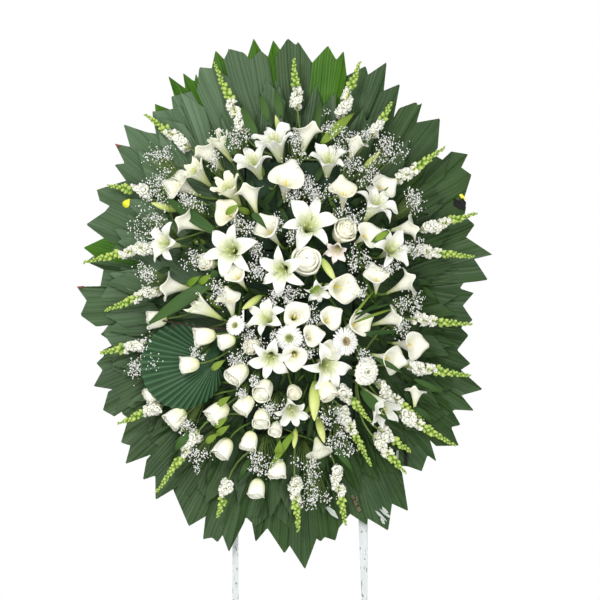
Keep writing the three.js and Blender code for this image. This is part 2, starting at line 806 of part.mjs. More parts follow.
function add(name, solid, material, parent = easel) {
  const mesh = new THREE.Mesh(geometryOf(solid), material);
  mesh.name = name;
  if (parent === swing) mesh.position.copy(at(0, HINGE.v, HINGE.w)).negate();
  parent.add(mesh);
}

// Places a piece made by build(grow), cut clear of the pieces before it.
function settle(name, build, material) {
  const solid = clearOf(build(0));
  add(name, solid, material);
  rooms.push(solid.add(build(GAP)));
}

add("upright_left", upright(LEFT_EDGES), WHITE_TIMBER);
add("upright_right", upright(RIGHT_EDGES), WHITE_TIMBER);
for (const [name, v, left, right] of FRONT_RAILS) {
  add(name, rail(v, left, right, -RAIL.thick), WHITE_TIMBER);
}
const { v: railHeight, left: railLeft, right: railRight, back: railBack } = HINGED_RAIL;
add("rail_hinged", rail(railHeight, railLeft, railRight, railBack), WHITE_TIMBER);
for (const [side, u] of Object.entries(REAR_LEGS)) {
  add("rear_leg_" + side, rearLeg(u), WHITE_TIMBER, swing);
}
add("rear_bar", rearBar(), WHITE_TIMBER, swing);
add("hinge_leaf_fixed", hingeFixedLeaf(), ZINC);
add("hinge_leaf_moving", hingeMovingLeaf(), ZINC, swing);
add("hinge_pin", hingePin(), ZINC);

PALM_LEAVES.forEach(([layer, ...tips], i) => {
  const name = "palm_leaf_" + String(i + 1).padStart(2, "0");
  settle(name, (grow) => palmLeaf(layer, tips, grow), PALM_GREEN);
});
settle("fan_palm_leaf", fanLeaf, FAN_GREEN);

const FINISH = {
  lily: LILY_WHITE,
  calla: CALLA_WHITE,
  rose: ROSE_WHITE,
  gerbera: GERBERA_WHITE,
  snapdragon: SNAPDRAGON_GREEN,
};
for (const [name, group] of Object.entries(BUNCHES)) {
  settle(name, (grow) => bunch(group, grow), FINISH[name.split("_")[0]]);
}

foamMiddles.forEach((v, i) => {
  settle("foam_block_" + (i + 1), (grow) => foamBlock(v, grow), FOAM_GREEN);
});
add("foam_tray", clearOf(foamTray()), BLACK_PLASTIC);
add("backing_board", backingBoard(), WHITE_TIMBER);

// The origin is on the floor under the middle of the whole object.
wreath.updateMatrixWorld(true);
const middle = new THREE.Box3().setFromObject(wreath, true).getCenter(new THREE.Vector3());
easel.position.x -= middle.x;
easel.position.y -= middle.y;

export default wreath;
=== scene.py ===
"""A standing funeral wreath: white lilies, callas, roses, gerberas, snapdragons and baby's breath in
floral foam, ringed with trimmed palm leaves, on a leaning white timber easel.

The plans below are in millimetres as seen from straight ahead: across to the right and up, both from
the middle of the wreath, and off the dome that the flower heads make. Blender works in metres."""
import json
import math

import bpy
import numpy as np
from mathutils import Matrix, Vector


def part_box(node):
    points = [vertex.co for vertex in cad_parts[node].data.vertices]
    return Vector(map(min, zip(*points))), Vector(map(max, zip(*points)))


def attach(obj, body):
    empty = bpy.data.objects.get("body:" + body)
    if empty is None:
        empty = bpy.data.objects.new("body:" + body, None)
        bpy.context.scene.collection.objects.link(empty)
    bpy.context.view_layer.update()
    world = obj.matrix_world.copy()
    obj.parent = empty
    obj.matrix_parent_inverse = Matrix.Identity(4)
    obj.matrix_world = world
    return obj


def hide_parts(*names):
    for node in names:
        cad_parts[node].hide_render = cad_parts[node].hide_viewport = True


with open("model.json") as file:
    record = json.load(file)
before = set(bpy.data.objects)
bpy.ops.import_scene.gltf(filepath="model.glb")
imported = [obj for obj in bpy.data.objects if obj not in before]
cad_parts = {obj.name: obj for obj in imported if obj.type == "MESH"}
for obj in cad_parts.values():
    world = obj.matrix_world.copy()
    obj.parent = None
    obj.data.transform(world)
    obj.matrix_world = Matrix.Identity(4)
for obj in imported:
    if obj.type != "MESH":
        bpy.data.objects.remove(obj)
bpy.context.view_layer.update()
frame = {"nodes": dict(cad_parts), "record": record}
rng = np.random.default_rng(11)

# ---------------------------------------------------------------- the easel's plane
MM = 0.001
LEAN = math.radians(10)
BOARD_RIGHT, BOARD_OUT = 38, 8  # where the middle of the backing board is, from the wreath's middle
DOME = {"half_wide": 470, "half_tall": 600, "rim": 70, "crown": 220}
FOAM_FACE = 98  # how far the foam stands off the rails
GOLDEN_TURN = 2.39996  # radians from one floret, or one seed, to the next

RIGHT = Vector((1, 0, 0))
UPHILL = Vector((0, math.sin(LEAN), math.cos(LEAN)))
OUT = Vector((0, -math.cos(LEAN), math.sin(LEAN)))

board_low, board_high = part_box("backing_board")
MIDDLE = (board_low + board_high) / 2 - (RIGHT * BOARD_RIGHT + OUT * BOARD_OUT) * MM


def at(u, v, w):
    """A point of the easel's plane, in metres."""
    return MIDDLE + (RIGHT * u + UPHILL * v + OUT * w) * MM


def seen(across, up, w):
    """A point w off the rails that is seen from straight ahead at this place."""
    return at(across, (up - w * math.sin(LEAN)) / math.cos(LEAN), w)


def dome(across, up):
    """How far off the rails the flower heads stand."""
    outward = (across / DOME["half_wide"]) ** 2 + (up / DOME["half_tall"]) ** 2
    return DOME["rim"] + (DOME["crown"] - DOME["rim"]) * max(0.0, 1 - outward)


def on_dome(across, up, lift):
    """A point that is seen from straight ahead at this place, lifted off the dome."""
    return seen(across, up, dome(across, up) + lift)


# ---------------------------------------------------------------- camera, light and floor
# The picture's width at the wreath, how far its middle is from the wreath's, and how far away the
# camera is, in metres; the sensor in millimetres.
PICTURE = {"wide": 1.704, "right": 0.040, "up": 0.0030, "distance": 14.0, "sensor": 36.0}


def make_camera():
    camera = bpy.data.cameras.new("camera")
    camera.sensor_width = PICTURE["sensor"]
    camera.lens = PICTURE["sensor"] * PICTURE["distance"] / PICTURE["wide"]
    camera.clip_end = 100
    holder = bpy.data.objects.new("camera", camera)
    holder.location = (
        MIDDLE.x + PICTURE["right"],
        MIDDLE.y - PICTURE["distance"],
        MIDDLE.z + PICTURE["up"],
    )
    holder.rotation_euler = (math.pi / 2, 0, 0)
    bpy.context.collection.objects.link(holder)
    bpy.context.scene.camera = holder


# Each light: its place, what it points at, its size and its power, in metres and watts.
LIGHTS = {
    "key": [(-1.6, -3.6, 3.2), (0, 0, 1.2), 1.6, 84],
    "fill": [(0.9, -4.4, 0.5), (0, 0, 1.1), 2.6, 76],
    "back": [(0.8, 3.2, 2.6), (0, 0, 1.2), 1.6, 45],
}
WORLD = {"light": 0.66, "backdrop": 1.0}  # how bright it lights, and how bright the camera sees it
FLOOR_RADIUS = 1.4  # metres


def make_light():
    world = bpy.data.worlds.new("studio")
    world.use_nodes = True
    tree = world.node_tree
    background = tree.nodes["Background"]
    background.inputs["Color"].default_value = (1, 1, 1, 1)
    rays = tree.nodes.new("ShaderNodeLightPath")
    strength = tree.nodes.new("ShaderNodeMix")
    strength.inputs["A"].default_value = WORLD["light"]
    strength.inputs["B"].default_value = WORLD["backdrop"]
    tree.links.new(rays.outputs["Is Camera Ray"], strength.inputs["Factor"])
    tree.links.new(strength.outputs["Result"], background.inputs["Strength"])
    scene = bpy.context.scene
    scene.world = world
    scene.view_settings.view_transform = "Standard"
    scene.view_settings.look = "None"
    for name, (place, target, size, power) in LIGHTS.items():
        light = bpy.data.lights.new(name, "AREA")
        light.shape = "DISK"
        light.size = size
        light.energy = power
        holder = bpy.data.objects.new(name, light)
        holder.location = place
        holder.rotation_euler = (Vector(target) - Vector(place)).to_track_quat("-Z", "Y").to_euler()
        bpy.context.collection.objects.link(holder)


def make_floor():
    bpy.ops.mesh.primitive_circle_add(vertices=96, radius=FLOOR_RADIUS, fill_type="NGON")
    floor = bpy.context.object
    floor.name = "floor"
    floor.location = (0, 0, -MM)
    floor.data.materials.append(MATERIALS["floor"])


# ---------------------------------------------------------------- materials
class Nodes:
    """A material's node tree with short ways to add what the materials here share."""

    def __init__(self, name, roughness, **settings):
        self.material = bpy.data.materials.new(name)
        self.material.use_nodes = True
        self.tree = self.material.node_tree
        self.shader = self.tree.nodes["Principled BSDF"]
        self.shader.inputs["Roughness"].default_value = roughness
        for socket, value in settings.items():
            self.shader.inputs[socket.replace("_", " ")].default_value = value

    def node(self, kind, **settings):
        node = self.tree.nodes.new(kind)
        for key, value in settings.items():
            setattr(node, key, value)
        return node

    def feed(self, socket, value):
        """Links a socket to an output, or gives it a number or a colour."""
        if isinstance(value, bpy.types.NodeSocket):
            self.tree.links.new(value, socket)
        else:
            socket.default_value = (*value, 1) if isinstance(value, tuple) else value

    def attribute(self, name):
        return self.node("ShaderNodeAttribute", attribute_name=name).outputs["Fac"]

    def noise(self, scale, detail=3.0, stretch=(1, 1, 1)):
        noise = self.node("ShaderNodeTexNoise")
        noise.inputs["Scale"].default_value = scale
        noise.inputs["Detail"].default_value = detail
        source = self.node("ShaderNodeTexCoord").outputs["Object"]
        mapping = self.node("ShaderNodeMapping")
        mapping.inputs["Scale"].default_value = stretch
        self.feed(mapping.inputs["Vector"], source)
        self.feed(noise.inputs["Vector"], mapping.outputs["Vector"])
        return noise.outputs["Fac"]

    def ramp(self, fac, stops):
        ramp = self.node("ShaderNodeValToRGB")
        elements = ramp.color_ramp.elements
        while len(elements) < len(stops):
            elements.new(0.5)
        for element, (place, colour) in zip(elements, stops):
            element.position = place
            element.color = (*colour, 1)
        self.feed(ramp.inputs["Fac"], fac)
        return ramp.outputs["Color"]

    def mix(self, fac, a, b):
        mix = self.node("ShaderNodeMix", data_type="RGBA")
        for index, value in ((0, fac), (6, a), (7, b)):
            self.feed(mix.inputs[index], value)
        return mix.outputs[2]

    def math(self, operation, a, b=0.0):
        node = self.node("ShaderNodeMath", operation=operation)
        for socket, value in zip(node.inputs, (a, b)):
            self.feed(socket, value)
        return node.outputs[0]

    def colour(self, output):
        self.feed(self.shader.inputs["Base Color"], output)

    def bump(self, height, strength):
        bump = self.node("ShaderNodeBump")
        bump.inputs["Strength"].default_value = strength
        bump.inputs["Distance"].default_value = MM
        self.feed(bump.inputs["Height"], height)
        self.feed(self.shader.inputs["Normal"], bump.outputs["Normal"])


def petal_material(name, base, throat, tip, vein, roughness=0.5):
    """A petal that runs from its coloured throat to a pale tip, with a faint midrib and veins."""
    nodes = Nodes(name, roughness, Subsurface_Weight=0.08, Subsurface_Scale=0.003, Sheen_Weight=0.08)
    nodes.shader.inputs["Subsurface Radius"].default_value = (1.0, 0.95, 0.75)
    grade = nodes.attribute("grade")
    across = nodes.attribute("across")
    body = nodes.ramp(grade, [(0.0, base), (0.3, throat), (0.62, tip), (1.0, tip)])
    middle = nodes.math("SUBTRACT", 1.0, nodes.math("MULTIPLY", across, 5.0))
    rib = nodes.math("MULTIPLY", nodes.math("MAXIMUM", middle, 0.0), vein)
    mottled = nodes.mix(nodes.math("MULTIPLY", nodes.noise(60), 0.18), body, throat)
    nodes.colour(nodes.mix(rib, mottled, throat))
    wave = nodes.math("SINE", nodes.math("MULTIPLY", across, 46.0))
    nodes.bump(nodes.math("ADD", wave, nodes.noise(220)), 0.18)
    return nodes.material


def leaf_material(name, dark, light, pale, ribs=90.0):
    """A green leaf: fine ribs along it, patches of lighter green, dusty flecks, and a tint towards the pale
    green, which carries random tone, a paler midrib, painted highlights on fold ridges, painted shadow
    beside finger steps, and painted sky reflection that greys the leaves at the upper left."""
    nodes = Nodes(name, 0.42, Specular_IOR_Level=0.22)
    across = nodes.attribute("across")
    tint = nodes.attribute("tint")
    patches = nodes.ramp(nodes.noise(9, 4), [(0.32, dark), (0.72, light)])
    wave = nodes.math("SINE", nodes.math("MULTIPLY", across, ribs))
    lines = nodes.math("MULTIPLY", nodes.math("ADD", wave, 1.0), 0.12)
    striped = nodes.mix(lines, patches, light)
    flecks = nodes.ramp(nodes.noise(210, 2), [(0.68, (0, 0, 0)), (0.76, (1, 1, 1))])
    dusty = nodes.math("MULTIPLY", flecks, 0.08)
    nodes.colour(nodes.mix(dusty, nodes.mix(tint, striped, pale), (0.5, 0.52, 0.45)))
    nodes.bump(nodes.math("ADD", wave, nodes.noise(150)), 0.25)
    return nodes.material


def timber_material():
    """Worn white paint on timber: grain along its length, damp stains and dark specks."""
    nodes = Nodes("white_timber", 0.72)
    grain = nodes.noise(28, 6, (1, 1, 0.05))
    stain = nodes.noise(7, 3, (1, 1, 0.4))
    paint = nodes.ramp(grain, [(0.3, (0.46, 0.50, 0.50)), (0.6, (0.64, 0.67, 0.67))])
    damp = nodes.mix(nodes.math("MULTIPLY", stain, 0.35), paint, (0.52, 0.58, 0.60))
    specks = nodes.ramp(nodes.noise(160, 2, (1, 1, 0.35)), [(0.60, (0, 0, 0)), (0.66, (1, 1, 1))])
    nodes.colour(nodes.mix(specks, damp, (0.24, 0.25, 0.23)))
    nodes.bump(nodes.math("ADD", grain, specks), 0.5)
    return nodes.material


def grainy_material(name, roughness, grain, dark, light, bump=0.0, **settings):
    """A surface whose grains run from a dark to a light colour. Grain is their scale and detail;
    dark and light are each a place on the ramp and a colour."""
    nodes = Nodes(name, roughness, **settings)
    grains = nodes.noise(*grain)
    nodes.colour(nodes.ramp(grains, [dark, light]))
    if bump:
        nodes.bump(grains, bump)
    return nodes.material


WHITE = (0.90, 0.90, 0.86)

GRAINY = {
    "zinc": {
        "roughness": 0.38,
        "grain": (300, 2),
        "dark": (0.35, (0.42, 0.43, 0.44)),
        "light": (0.7, (0.62, 0.63, 0.64)),
        "bump": 0.1,
        "Metallic": 0.9,
    },
    "foam": {
        "roughness": 0.95,
        "grain": (900, 2),
        "dark": (0.35, (0.008, 0.022, 0.010)),
        "light": (0.65, (0.025, 0.060, 0.028)),
        "bump": 0.8,
    },
    "black_plastic": {
        "roughness": 0.6,
        "grain": (500, 2),
        "dark": (0.3, (0.004, 0.005, 0.004)),
        "light": (0.7, (0.012, 0.014, 0.012)),
        "bump": 0.15,
        "Specular_IOR_Level": 0.2,
    },
    "floor": {
        "roughness": 0.8,
        "grain": (3,),
        "dark": (0.3, (0.80, 0.80, 0.79)),
        "light": (0.7, (0.86, 0.86, 0.85)),
    },
}
# A petal's colours at its base, in its throat and at its tip, how much its midrib shows, and its
# roughness where that is not 0.5.
PETALS = {
    "lily": [(0.42, 0.52, 0.14), (0.78, 0.83, 0.52), WHITE, 0.5],
    "calla": [(0.30, 0.44, 0.05), (0.80, 0.83, 0.48), (0.93, 0.92, 0.80), 0.1, 0.35],
    "cream_calla": [(0.38, 0.48, 0.08), (0.86, 0.84, 0.56), (0.91, 0.89, 0.70), 0.1, 0.35],
    "rose": [(0.62, 0.72, 0.22), (0.93, 0.93, 0.62), (0.96, 0.955, 0.84), 0.1],
    "blush_lily": [(0.60, 0.62, 0.24), (0.88, 0.78, 0.66), (0.92, 0.84, 0.80), 0.3],
    "green_lily": [(0.34, 0.46, 0.08), (0.70, 0.76, 0.34), (0.92, 0.92, 0.76), 0.6],
    "cream_rose": [(0.66, 0.66, 0.24), (0.93, 0.90, 0.55), (0.95, 0.93, 0.77), 0.1],
    "gerbera": [(0.80, 0.82, 0.62), (0.88, 0.88, 0.80), WHITE, 0.2],
    "floret": [(0.70, 0.78, 0.24), (0.90, 0.92, 0.66), (0.95, 0.95, 0.86), 0.2],
    "bud": [(0.20, 0.32, 0.05), (0.47, 0.56, 0.13), (0.66, 0.72, 0.26), 0.5],
    "spike_bud": [(0.10, 0.24, 0.015), (0.22, 0.38, 0.035), (0.48, 0.60, 0.14), 0.2],
    "spadix": [(0.70, 0.55, 0.08), (0.80, 0.62, 0.10), (0.84, 0.68, 0.14), 0.0],
    "anther": [(0.62, 0.56, 0.20), (0.74, 0.68, 0.26), (0.80, 0.76, 0.36), 0.0],
    "green_eye": [(0.16, 0.24, 0.04), (0.42, 0.50, 0.10), (0.62, 0.66, 0.24), 0.0],
    "tan_eye": [(0.20, 0.13, 0.04), (0.44, 0.32, 0.12), (0.62, 0.50, 0.26), 0.0],
    "breath": [(0.82, 0.84, 0.76), (0.88, 0.88, 0.84), (0.92, 0.92, 0.90), 0.0],
}
# A leaf's dark, light and pale colours, and how many ribs it has where they are not 90.
LEAVES = {
    "palm_leaf": [(0.010, 0.032, 0.004), (0.030, 0.073, 0.010), (0.132, 0.210, 0.118)],
    "bright_palm": [(0.030, 0.105, 0.005), (0.065, 0.185, 0.010), (0.16, 0.28, 0.05)],
    "fan_leaf": [(0.006, 0.026, 0.009), (0.019, 0.066, 0.023), (0.090, 0.20, 0.095)],
    "small_leaf": [(0.005, 0.018, 0.003), (0.018, 0.055, 0.008), (0.06, 0.13, 0.02), 30.0],
    "sword_leaf": [(0.012, 0.045, 0.006), (0.035, 0.095, 0.012), (0.10, 0.19, 0.05), 60.0],
    "lime_leaf": [(0.08, 0.18, 0.008), (0.20, 0.32, 0.025), (0.36, 0.42, 0.10), 30.0],
    "yellow_scrap": [(0.70, 0.68, 0.02), (0.88, 0.84, 0.05), (0.90, 0.86, 0.20), 20.0],
    "withered_leaf": [(0.03, 0.045, 0.015), (0.20, 0.17, 0.09), (0.28, 0.24, 0.14), 70.0],
    "torn_leaf": [(0.30, 0.36, 0.30), (0.66, 0.70, 0.66), (0.76, 0.78, 0.75), 50.0],
    "rust_leaf": [(0.16, 0.03, 0.02), (0.30, 0.07, 0.04), (0.40, 0.16, 0.10), 20.0],
    "twig": [(0.016, 0.012, 0.008), (0.050, 0.034, 0.020), (0.12, 0.09, 0.05), 12.0],
    "stem": [(0.045, 0.10, 0.012), (0.11, 0.19, 0.03), (0.20, 0.28, 0.08), 12.0],
}
MATERIALS = {"white_timber": timber_material()}
MATERIALS.update({name: grainy_material(name, **look) for name, look in GRAINY.items()})
MATERIALS.update({name: petal_material(name, *look) for name, look in PETALS.items()})
MATERIALS.update({name: leaf_material(name, *look) for name, look in LEAVES.items()})


# ---------------------------------------------------------------- mesh pieces
def ring_grid(path, radii, sides=6, helper=(0.31, 0.87, 0.13), end=1e-4):
    """The points of a tube along a path, closed to a small ring at both ends. The helper is any
    direction that the path does not take."""
    path = np.asarray(path, float)
    radii = np.broadcast_to(np.asarray(radii, float), len(path))
    path = np.vstack([path[:1], path, path[-1:]])
    radii = np.concatenate([[end], radii, [end]])
    ahead = np.gradient(path, axis=0)
    ahead[0], ahead[-1] = ahead[1], ahead[-2]
    ahead /= np.linalg.norm(ahead, axis=1)[:, None] + 1e-12
    side = np.cross(ahead, helper)
    side /= np.linalg.norm(side, axis=1)[:, None]
    other = np.cross(ahead, side)
    turn = np.linspace(0, 2 * math.pi, sides, endpoint=False)
    ring = side[:, None] * np.cos(turn)[None, :, None] + other[:, None] * np.sin(turn)[None, :, None]
    return path[:, None] + ring * radii[:, None, None]


class Piece:
    """Collects sheets and tubes, each point with its grade along, its place across and its tint."""

    def __init__(self, *materials):
        self.materials = materials
        self.points, self.faces, self.slots = [], [], []
        self.marks = {"grade": [], "across": [], "tint": []}
        self.count = 0

    def grid(self, points, material=0, closed=False, tint=0.0):
        """points[i][j]: i runs along from base to tip, j across; closed joins the last j to the first."""
        rows, columns = points.shape[:2]
        index = self.count + np.arange(rows * columns).reshape(rows, columns)
        right = np.roll(index, -1, axis=1)
        last = columns if closed else columns - 1
        quads = np.stack([index[:-1], right[:-1], right[1:], index[1:]], -1)[:, :last].reshape(-1, 4)
        self.points.append(points.reshape(-1, 3))
        self.faces.append(quads)
        self.slots.append(np.full(len(quads), material))
        self.marks["grade"].append(np.repeat(np.linspace(0, 1, rows), columns))
        self.marks["across"].append(np.tile(np.abs(np.linspace(-1, 1, columns)), rows))
        self.marks["tint"].append(np.broadcast_to(tint, (rows, columns)).reshape(-1))
        self.count += rows * columns

    def tube(self, path, radii, sides=6, tint=0.0):
        self.grid(ring_grid(path, radii, sides, (0.31, 0.17, 0.93), 1e-5), closed=True, tint=tint)

    def place(self, parts, origin, basis, size=1.0):
        """Adds a flower's parts, made round their own origin, turned to basis and moved to origin."""
        turn = np.array(basis.to_3x3())
        for points, material, closed in parts:
            self.grid(points * size @ turn.T + np.array(origin), material, closed)

    def build(self, name, slot, body="easel", replaces=(), thickness=0.0, smooth=True):
        """The mesh object. A thickness, in millimetres, makes its sheets solid."""
        mesh = bpy.data.meshes.new(name)
        points, faces = np.vstack(self.points), np.vstack(self.faces)
        mesh.from_pydata(points.tolist(), [], faces.tolist())
        for material in self.materials:
            mesh.materials.append(MATERIALS[material])
        mesh.polygons.foreach_set("material_index", np.concatenate(self.slots).astype(np.int32))
        mesh.polygons.foreach_set("use_smooth", np.full(len(faces), smooth))
        for mark, values in self.marks.items():
            layer = mesh.attributes.new(mark, "FLOAT", "POINT")
            layer.data.foreach_set("value", np.concatenate(values).astype(np.float32))
        mesh.validate()
        piece = bpy.data.objects.new(name, mesh)
        bpy.context.collection.objects.link(piece)
        if thickness:
            solid = piece.modifiers.new("thickness", "SOLIDIFY")
            solid.thickness = thickness * MM
            solid.offset = 0
        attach(piece, body)
        if replaces:
            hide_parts(*replaces)


def looking(direction, up_hint=Vector((0, 1, 0))):
    """A basis whose Z is the direction and whose X is as near as it can be to the hint."""
    z = direction.normalized()
    x = up_hint - z * up_hint.dot(z)
    if x.length < 0.05:
        x = Vector((0, 0, 1)) - z * z.z
    x.normalize()
    return Matrix((x, z.cross(x), z)).transposed()


def heading(angle, nod):
    """The way a flower looks: an angle in the easel's plane, and a nod away from straight out."""
    a, n = math.radians(angle), math.radians(nod)
    return RIGHT * math.sin(n) * math.cos(a) + UPHILL * math.sin(n) * math.sin(a) + OUT * math.cos(n)


def lerp(a, b, t):
    """From a to b as t goes from 0 to 1."""
    return a + (b - a) * t


def bezier(controls, s):
    """Points of a cubic Bezier curve; controls are four points of any dimension."""
    a, b, c, d = (np.asarray(p, float) for p in controls)
    s = np.asarray(s)[..., None]
    return a * (1 - s) ** 3 + 3 * b * s * (1 - s) ** 2 + 3 * c * s**2 * (1 - s) + d * s**3


# ---------------------------------------------------------------- flower forms, one unit across
# Each form is a list of parts: a grid of points, which of the piece's materials it has, and whether
# its rows close into rings.
def petal(turn, controls, half_width, lift, rows, columns):
    """A petal about the Z axis: controls are those of the curve of its radius and height,
    half_width(s) is its half width and lift(s, t) how far its surface stands off the curve."""
    s = np.linspace(0, 1, rows)
    t = np.linspace(-1, 1, columns)
    radius, height = bezier(controls, s).T
    wide = half_width(s)
    angle = turn + t[None, :] * np.minimum(wide / np.maximum(radius, 0.02), 1.5)[:, None]
    spread = radius[:, None] * np.ones_like(t)
    up = height[:, None] + lift(s[:, None], t[None, :])
    return np.stack([spread * np.cos(angle), spread * np.sin(angle), up], -1), 0, False


def rod(path, radii, sides=6, material=0):
    """A tube as one of a flower's parts."""
    return ring_grid(path, radii, sides), material, True


def blob(random, rows, sides, ruffle=0.25):
    """A small closed ball with a ruffled surface, one unit across."""
    s = np.linspace(0.02, 0.98, rows)[:, None] * math.pi
    a = np.linspace(0, 2 * math.pi, sides, endpoint=False)[None, :]
    r = 0.5 * (1 + ruffle * random.uniform(-1, 1, (rows, sides)))
    points = np.stack([r * np.sin(s) * np.cos(a), r * np.sin(s) * np.sin(a), -r * np.cos(s) + 0 * a], -1)
    return points, 0, True


def moved(part, scale, up):
    """A part stretched by scale and then raised."""
    points, *rest = part
    return points * np.array(scale) + np.array([0, 0, up]), *rest


def lily(flare, random):
    """Three broad petals inside three narrower ones, from a tube that flares by 0 to 1."""
    parts = []
    for k in range(6):
        inner = k % 2
        reach = lerp(0.20, 0.52, flare) * random.uniform(0.90, 1.08)
        tip = lerp(0.26, -0.03, flare) + random.uniform(-0.03, 0.04)
        curl = random.uniform(0.01, 0.10) * flare
        belly = (lerp(0.15, 0.24, flare), lerp(0.02, 0.13, flare))
        controls = [(0.03, -0.55), (0.08, -0.22), belly, (reach, tip - curl)]
        broad = lerp(0.118, 0.145, flare) if inner else lerp(0.080, 0.100, flare)
        broad = broad * random.uniform(0.94, 1.07)
        phase = random.uniform(0, 6)
        twist = random.uniform(-0.05, 0.05)

        def half_width(s):
            shape = np.sin(math.pi * np.clip(s, 0, 1) ** 1.28) ** 0.8
            tube = bezier(controls, s)[:, 0] * 0.62 * np.clip((0.42 - s) * 8, 0, 1)
            return np.maximum(broad * shape, tube) + 0.002

        def lift(s, t):
            channel = 0.06 * t**2 * np.sin(math.pi * s)
            ruffle = 0.024 * np.sin(13 * s + phase + 2 * t) * t**2 * s * (1 + inner)
            return channel + ruffle - 0.014 * (1 - inner) - 0.012 * (1 - np.abs(t)) * s + twist * t * s**2

        turn = k * math.pi / 3 + random.uniform(-0.10, 0.10)
        parts.append(petal(turn, controls, half_width, lift, 16, 9))
    return parts


def lily_stamens(flare, random):
    """Six stamens with their anthers, and a thicker, longer pistil in the middle."""
    parts = []
    for k in range(7):
        middle = k == 6
        turn = k * math.pi / 3 + 0.5
        reach = 0 if middle else lerp(0.03, 0.12, flare)
        top = 0.10 if middle else random.uniform(0.02, 0.07)
        s = np.linspace(0, 1, 6)
        line = bezier([(0.01, 0, -0.45), (0.01, 0, -0.2), (reach * 0.5, 0, 0), (reach, 0, top)], s)
        parts.append(rod(spun(line, turn), 0.009 if middle else 0.005))
        if not middle:
            head = line[-1] + np.linspace(-0.035, 0.035, 4)[:, None] * np.array([0.2, 1.0, 0.1])
            parts.append(rod(spun(head, turn), [0.003, 0.007, 0.007, 0.003], material=1))
    return parts


def spun(points, turn):
    """Points turned about the Z axis."""
    c, s = math.cos(turn), math.sin(turn)
    return points @ np.array([[c, s, 0], [-s, c, 0], [0, 0, 1]])


def calla(random, behind):
    """One unit long: a spathe rolled into a funnel, open to a flared mouth with a pointed lip that
    is on the far side, or on the near side where the flower is seen from behind."""
    s = np.linspace(0, 1, 18)[:, None]
    overlap = random.uniform(0.2, 0.45)
    a = np.linspace(-math.pi - overlap, math.pi + overlap, 34)[None, :]
    far = (1 + np.cos(a)) / 2
    wrap = np.abs(a) / math.pi
    mouth = random.uniform(0.27, 0.33)
    radius = 0.045 + mouth * s ** random.uniform(1.6, 2.1) * (0.88 + 0.22 * far)
    radius = radius * (1 + 0.05 * (wrap - 1) * (a > 0) - 0.04 * (wrap > 1) * (a < 0))
    point = np.exp(-((a / 0.32) ** 2))
    height = -1 + s * (0.84 + 0.16 * far) + 0.15 * point * s**3
    roll = np.clip((s - 0.78) / 0.22, 0, 1) ** 2
    wave = np.sin(3 * a + random.uniform(0, 6)) + 0.6 * np.sin(2 * a + random.uniform(0, 6))
    radius = radius + roll * (0.12 + 0.035 * wave)
    height = height - roll * (0.06 - 0.07 * point + 0.03 * wave)
    bend = 0.10 * (s - 1) ** 2 - 0.10
    side = -1 if behind else 1
    points = np.stack([side * radius * np.cos(a) + bend, radius * np.sin(a), height + 0 * a], -1)
    return [(points, 0, False)]


def calla_spadix():
    """The yellow rod inside a calla, in the same units."""
    line = np.array([(-0.02, 0.0, -0.9), (-0.06, 0.0, -0.6), (-0.085, 0.0, -0.40), (-0.09, 0.0, -0.26)])
    return [rod(line, [0.02, 0.034, 0.034, 0.018], 8)]


# Each whorl of a rose: its girth at the rim, its petals, how high its rim is, how far the rim rolls out.
ROSE_WHORLS = [
    (0.04, 1, 0.05, 0.06),
    (0.09, 2, 0.04, 0.10),
    (0.17, 3, 0.02, 0.12),
    (0.26, 3, -0.04, 0.13),
    (0.36, 3, -0.13, 0.15),
]


def rose(random, shut):
    """One unit wide and about as tall: a closed heart in whorls of cupped petals with rolled rims.
    A shut rose, with shut 1, is a tall cup whose outer petals reach as high as its heart."""
    parts = []
    for girth, count, rise, roll in ROSE_WHORLS:
        spin = random.uniform(0, 6)
        for k in range(count):
            size = girth * random.uniform(0.90, 1.10)
            top = lerp(rise, 0.02 - 0.02 * count, shut) + random.uniform(-0.03, 0.02)
            out = roll * random.uniform(0.8, 1.2) * (1 - 0.45 * shut)
            controls = [(0.05, -1.0), (size * 1.45, -0.92), (size * 0.94, top + 0.01), (size + out, top)]
            phase = random.uniform(0, 6)

            def half_width(s):
                cup = np.sin(np.clip(s * 1.05, 0, 1) * math.pi * 0.70) ** 0.7
                overlap = min(1.6, 1.2 + 0.2 * count)
                return size * math.pi / count * overlap * cup * (1 - 0.25 * s**8) + 0.004

            def lift(s, t):
                rim = -0.20 * s**6 * t**2
                wave = 0.010 * np.sin(4 * t + phase) * s**3
                return rim + wave - out * 0.3 * np.clip(s - 0.86, 0, 1) * 7

            parts.append(petal(spin + k * 2 * math.pi / count, controls, half_width, lift, 11, 9))
    # the closed heart that shows between the rims
    parts.append(moved(blob(random, 7, 12, 0.03), (0.74, 0.74, 0.90), -0.48))
    return parts


def carnation(random):
    """One unit wide: a dome of fringed petals, more upright towards the middle."""
    parts = []
    for count, reach, rise in ((11, 0.50, -0.06), (10, 0.40, 0.06), (8, 0.27, 0.15), (5, 0.13, 0.20)):
        spin = random.uniform(0, 6)
        for k in range(count):
            far = reach * random.uniform(0.85, 1.1)
            controls = [(0.04, -0.40), (0.08, rise), (far * 0.7, rise + 0.03), (far, rise - 0.05)]
            phase = random.uniform(0, 6)

            def half_width(s):
                return 0.17 * np.clip(s * 1.5, 0, 1) ** 1.2 + 0.004

            def fringe(s, t):
                return (0.05 * np.sin(7 * t + phase) + 0.02 * np.sin(23 * t)) * s**3

            turn = spin + k * 2 * math.pi / count + random.uniform(-0.2, 0.2)
            parts.append(petal(turn, controls, half_width, fringe, 8, 11))
    return parts


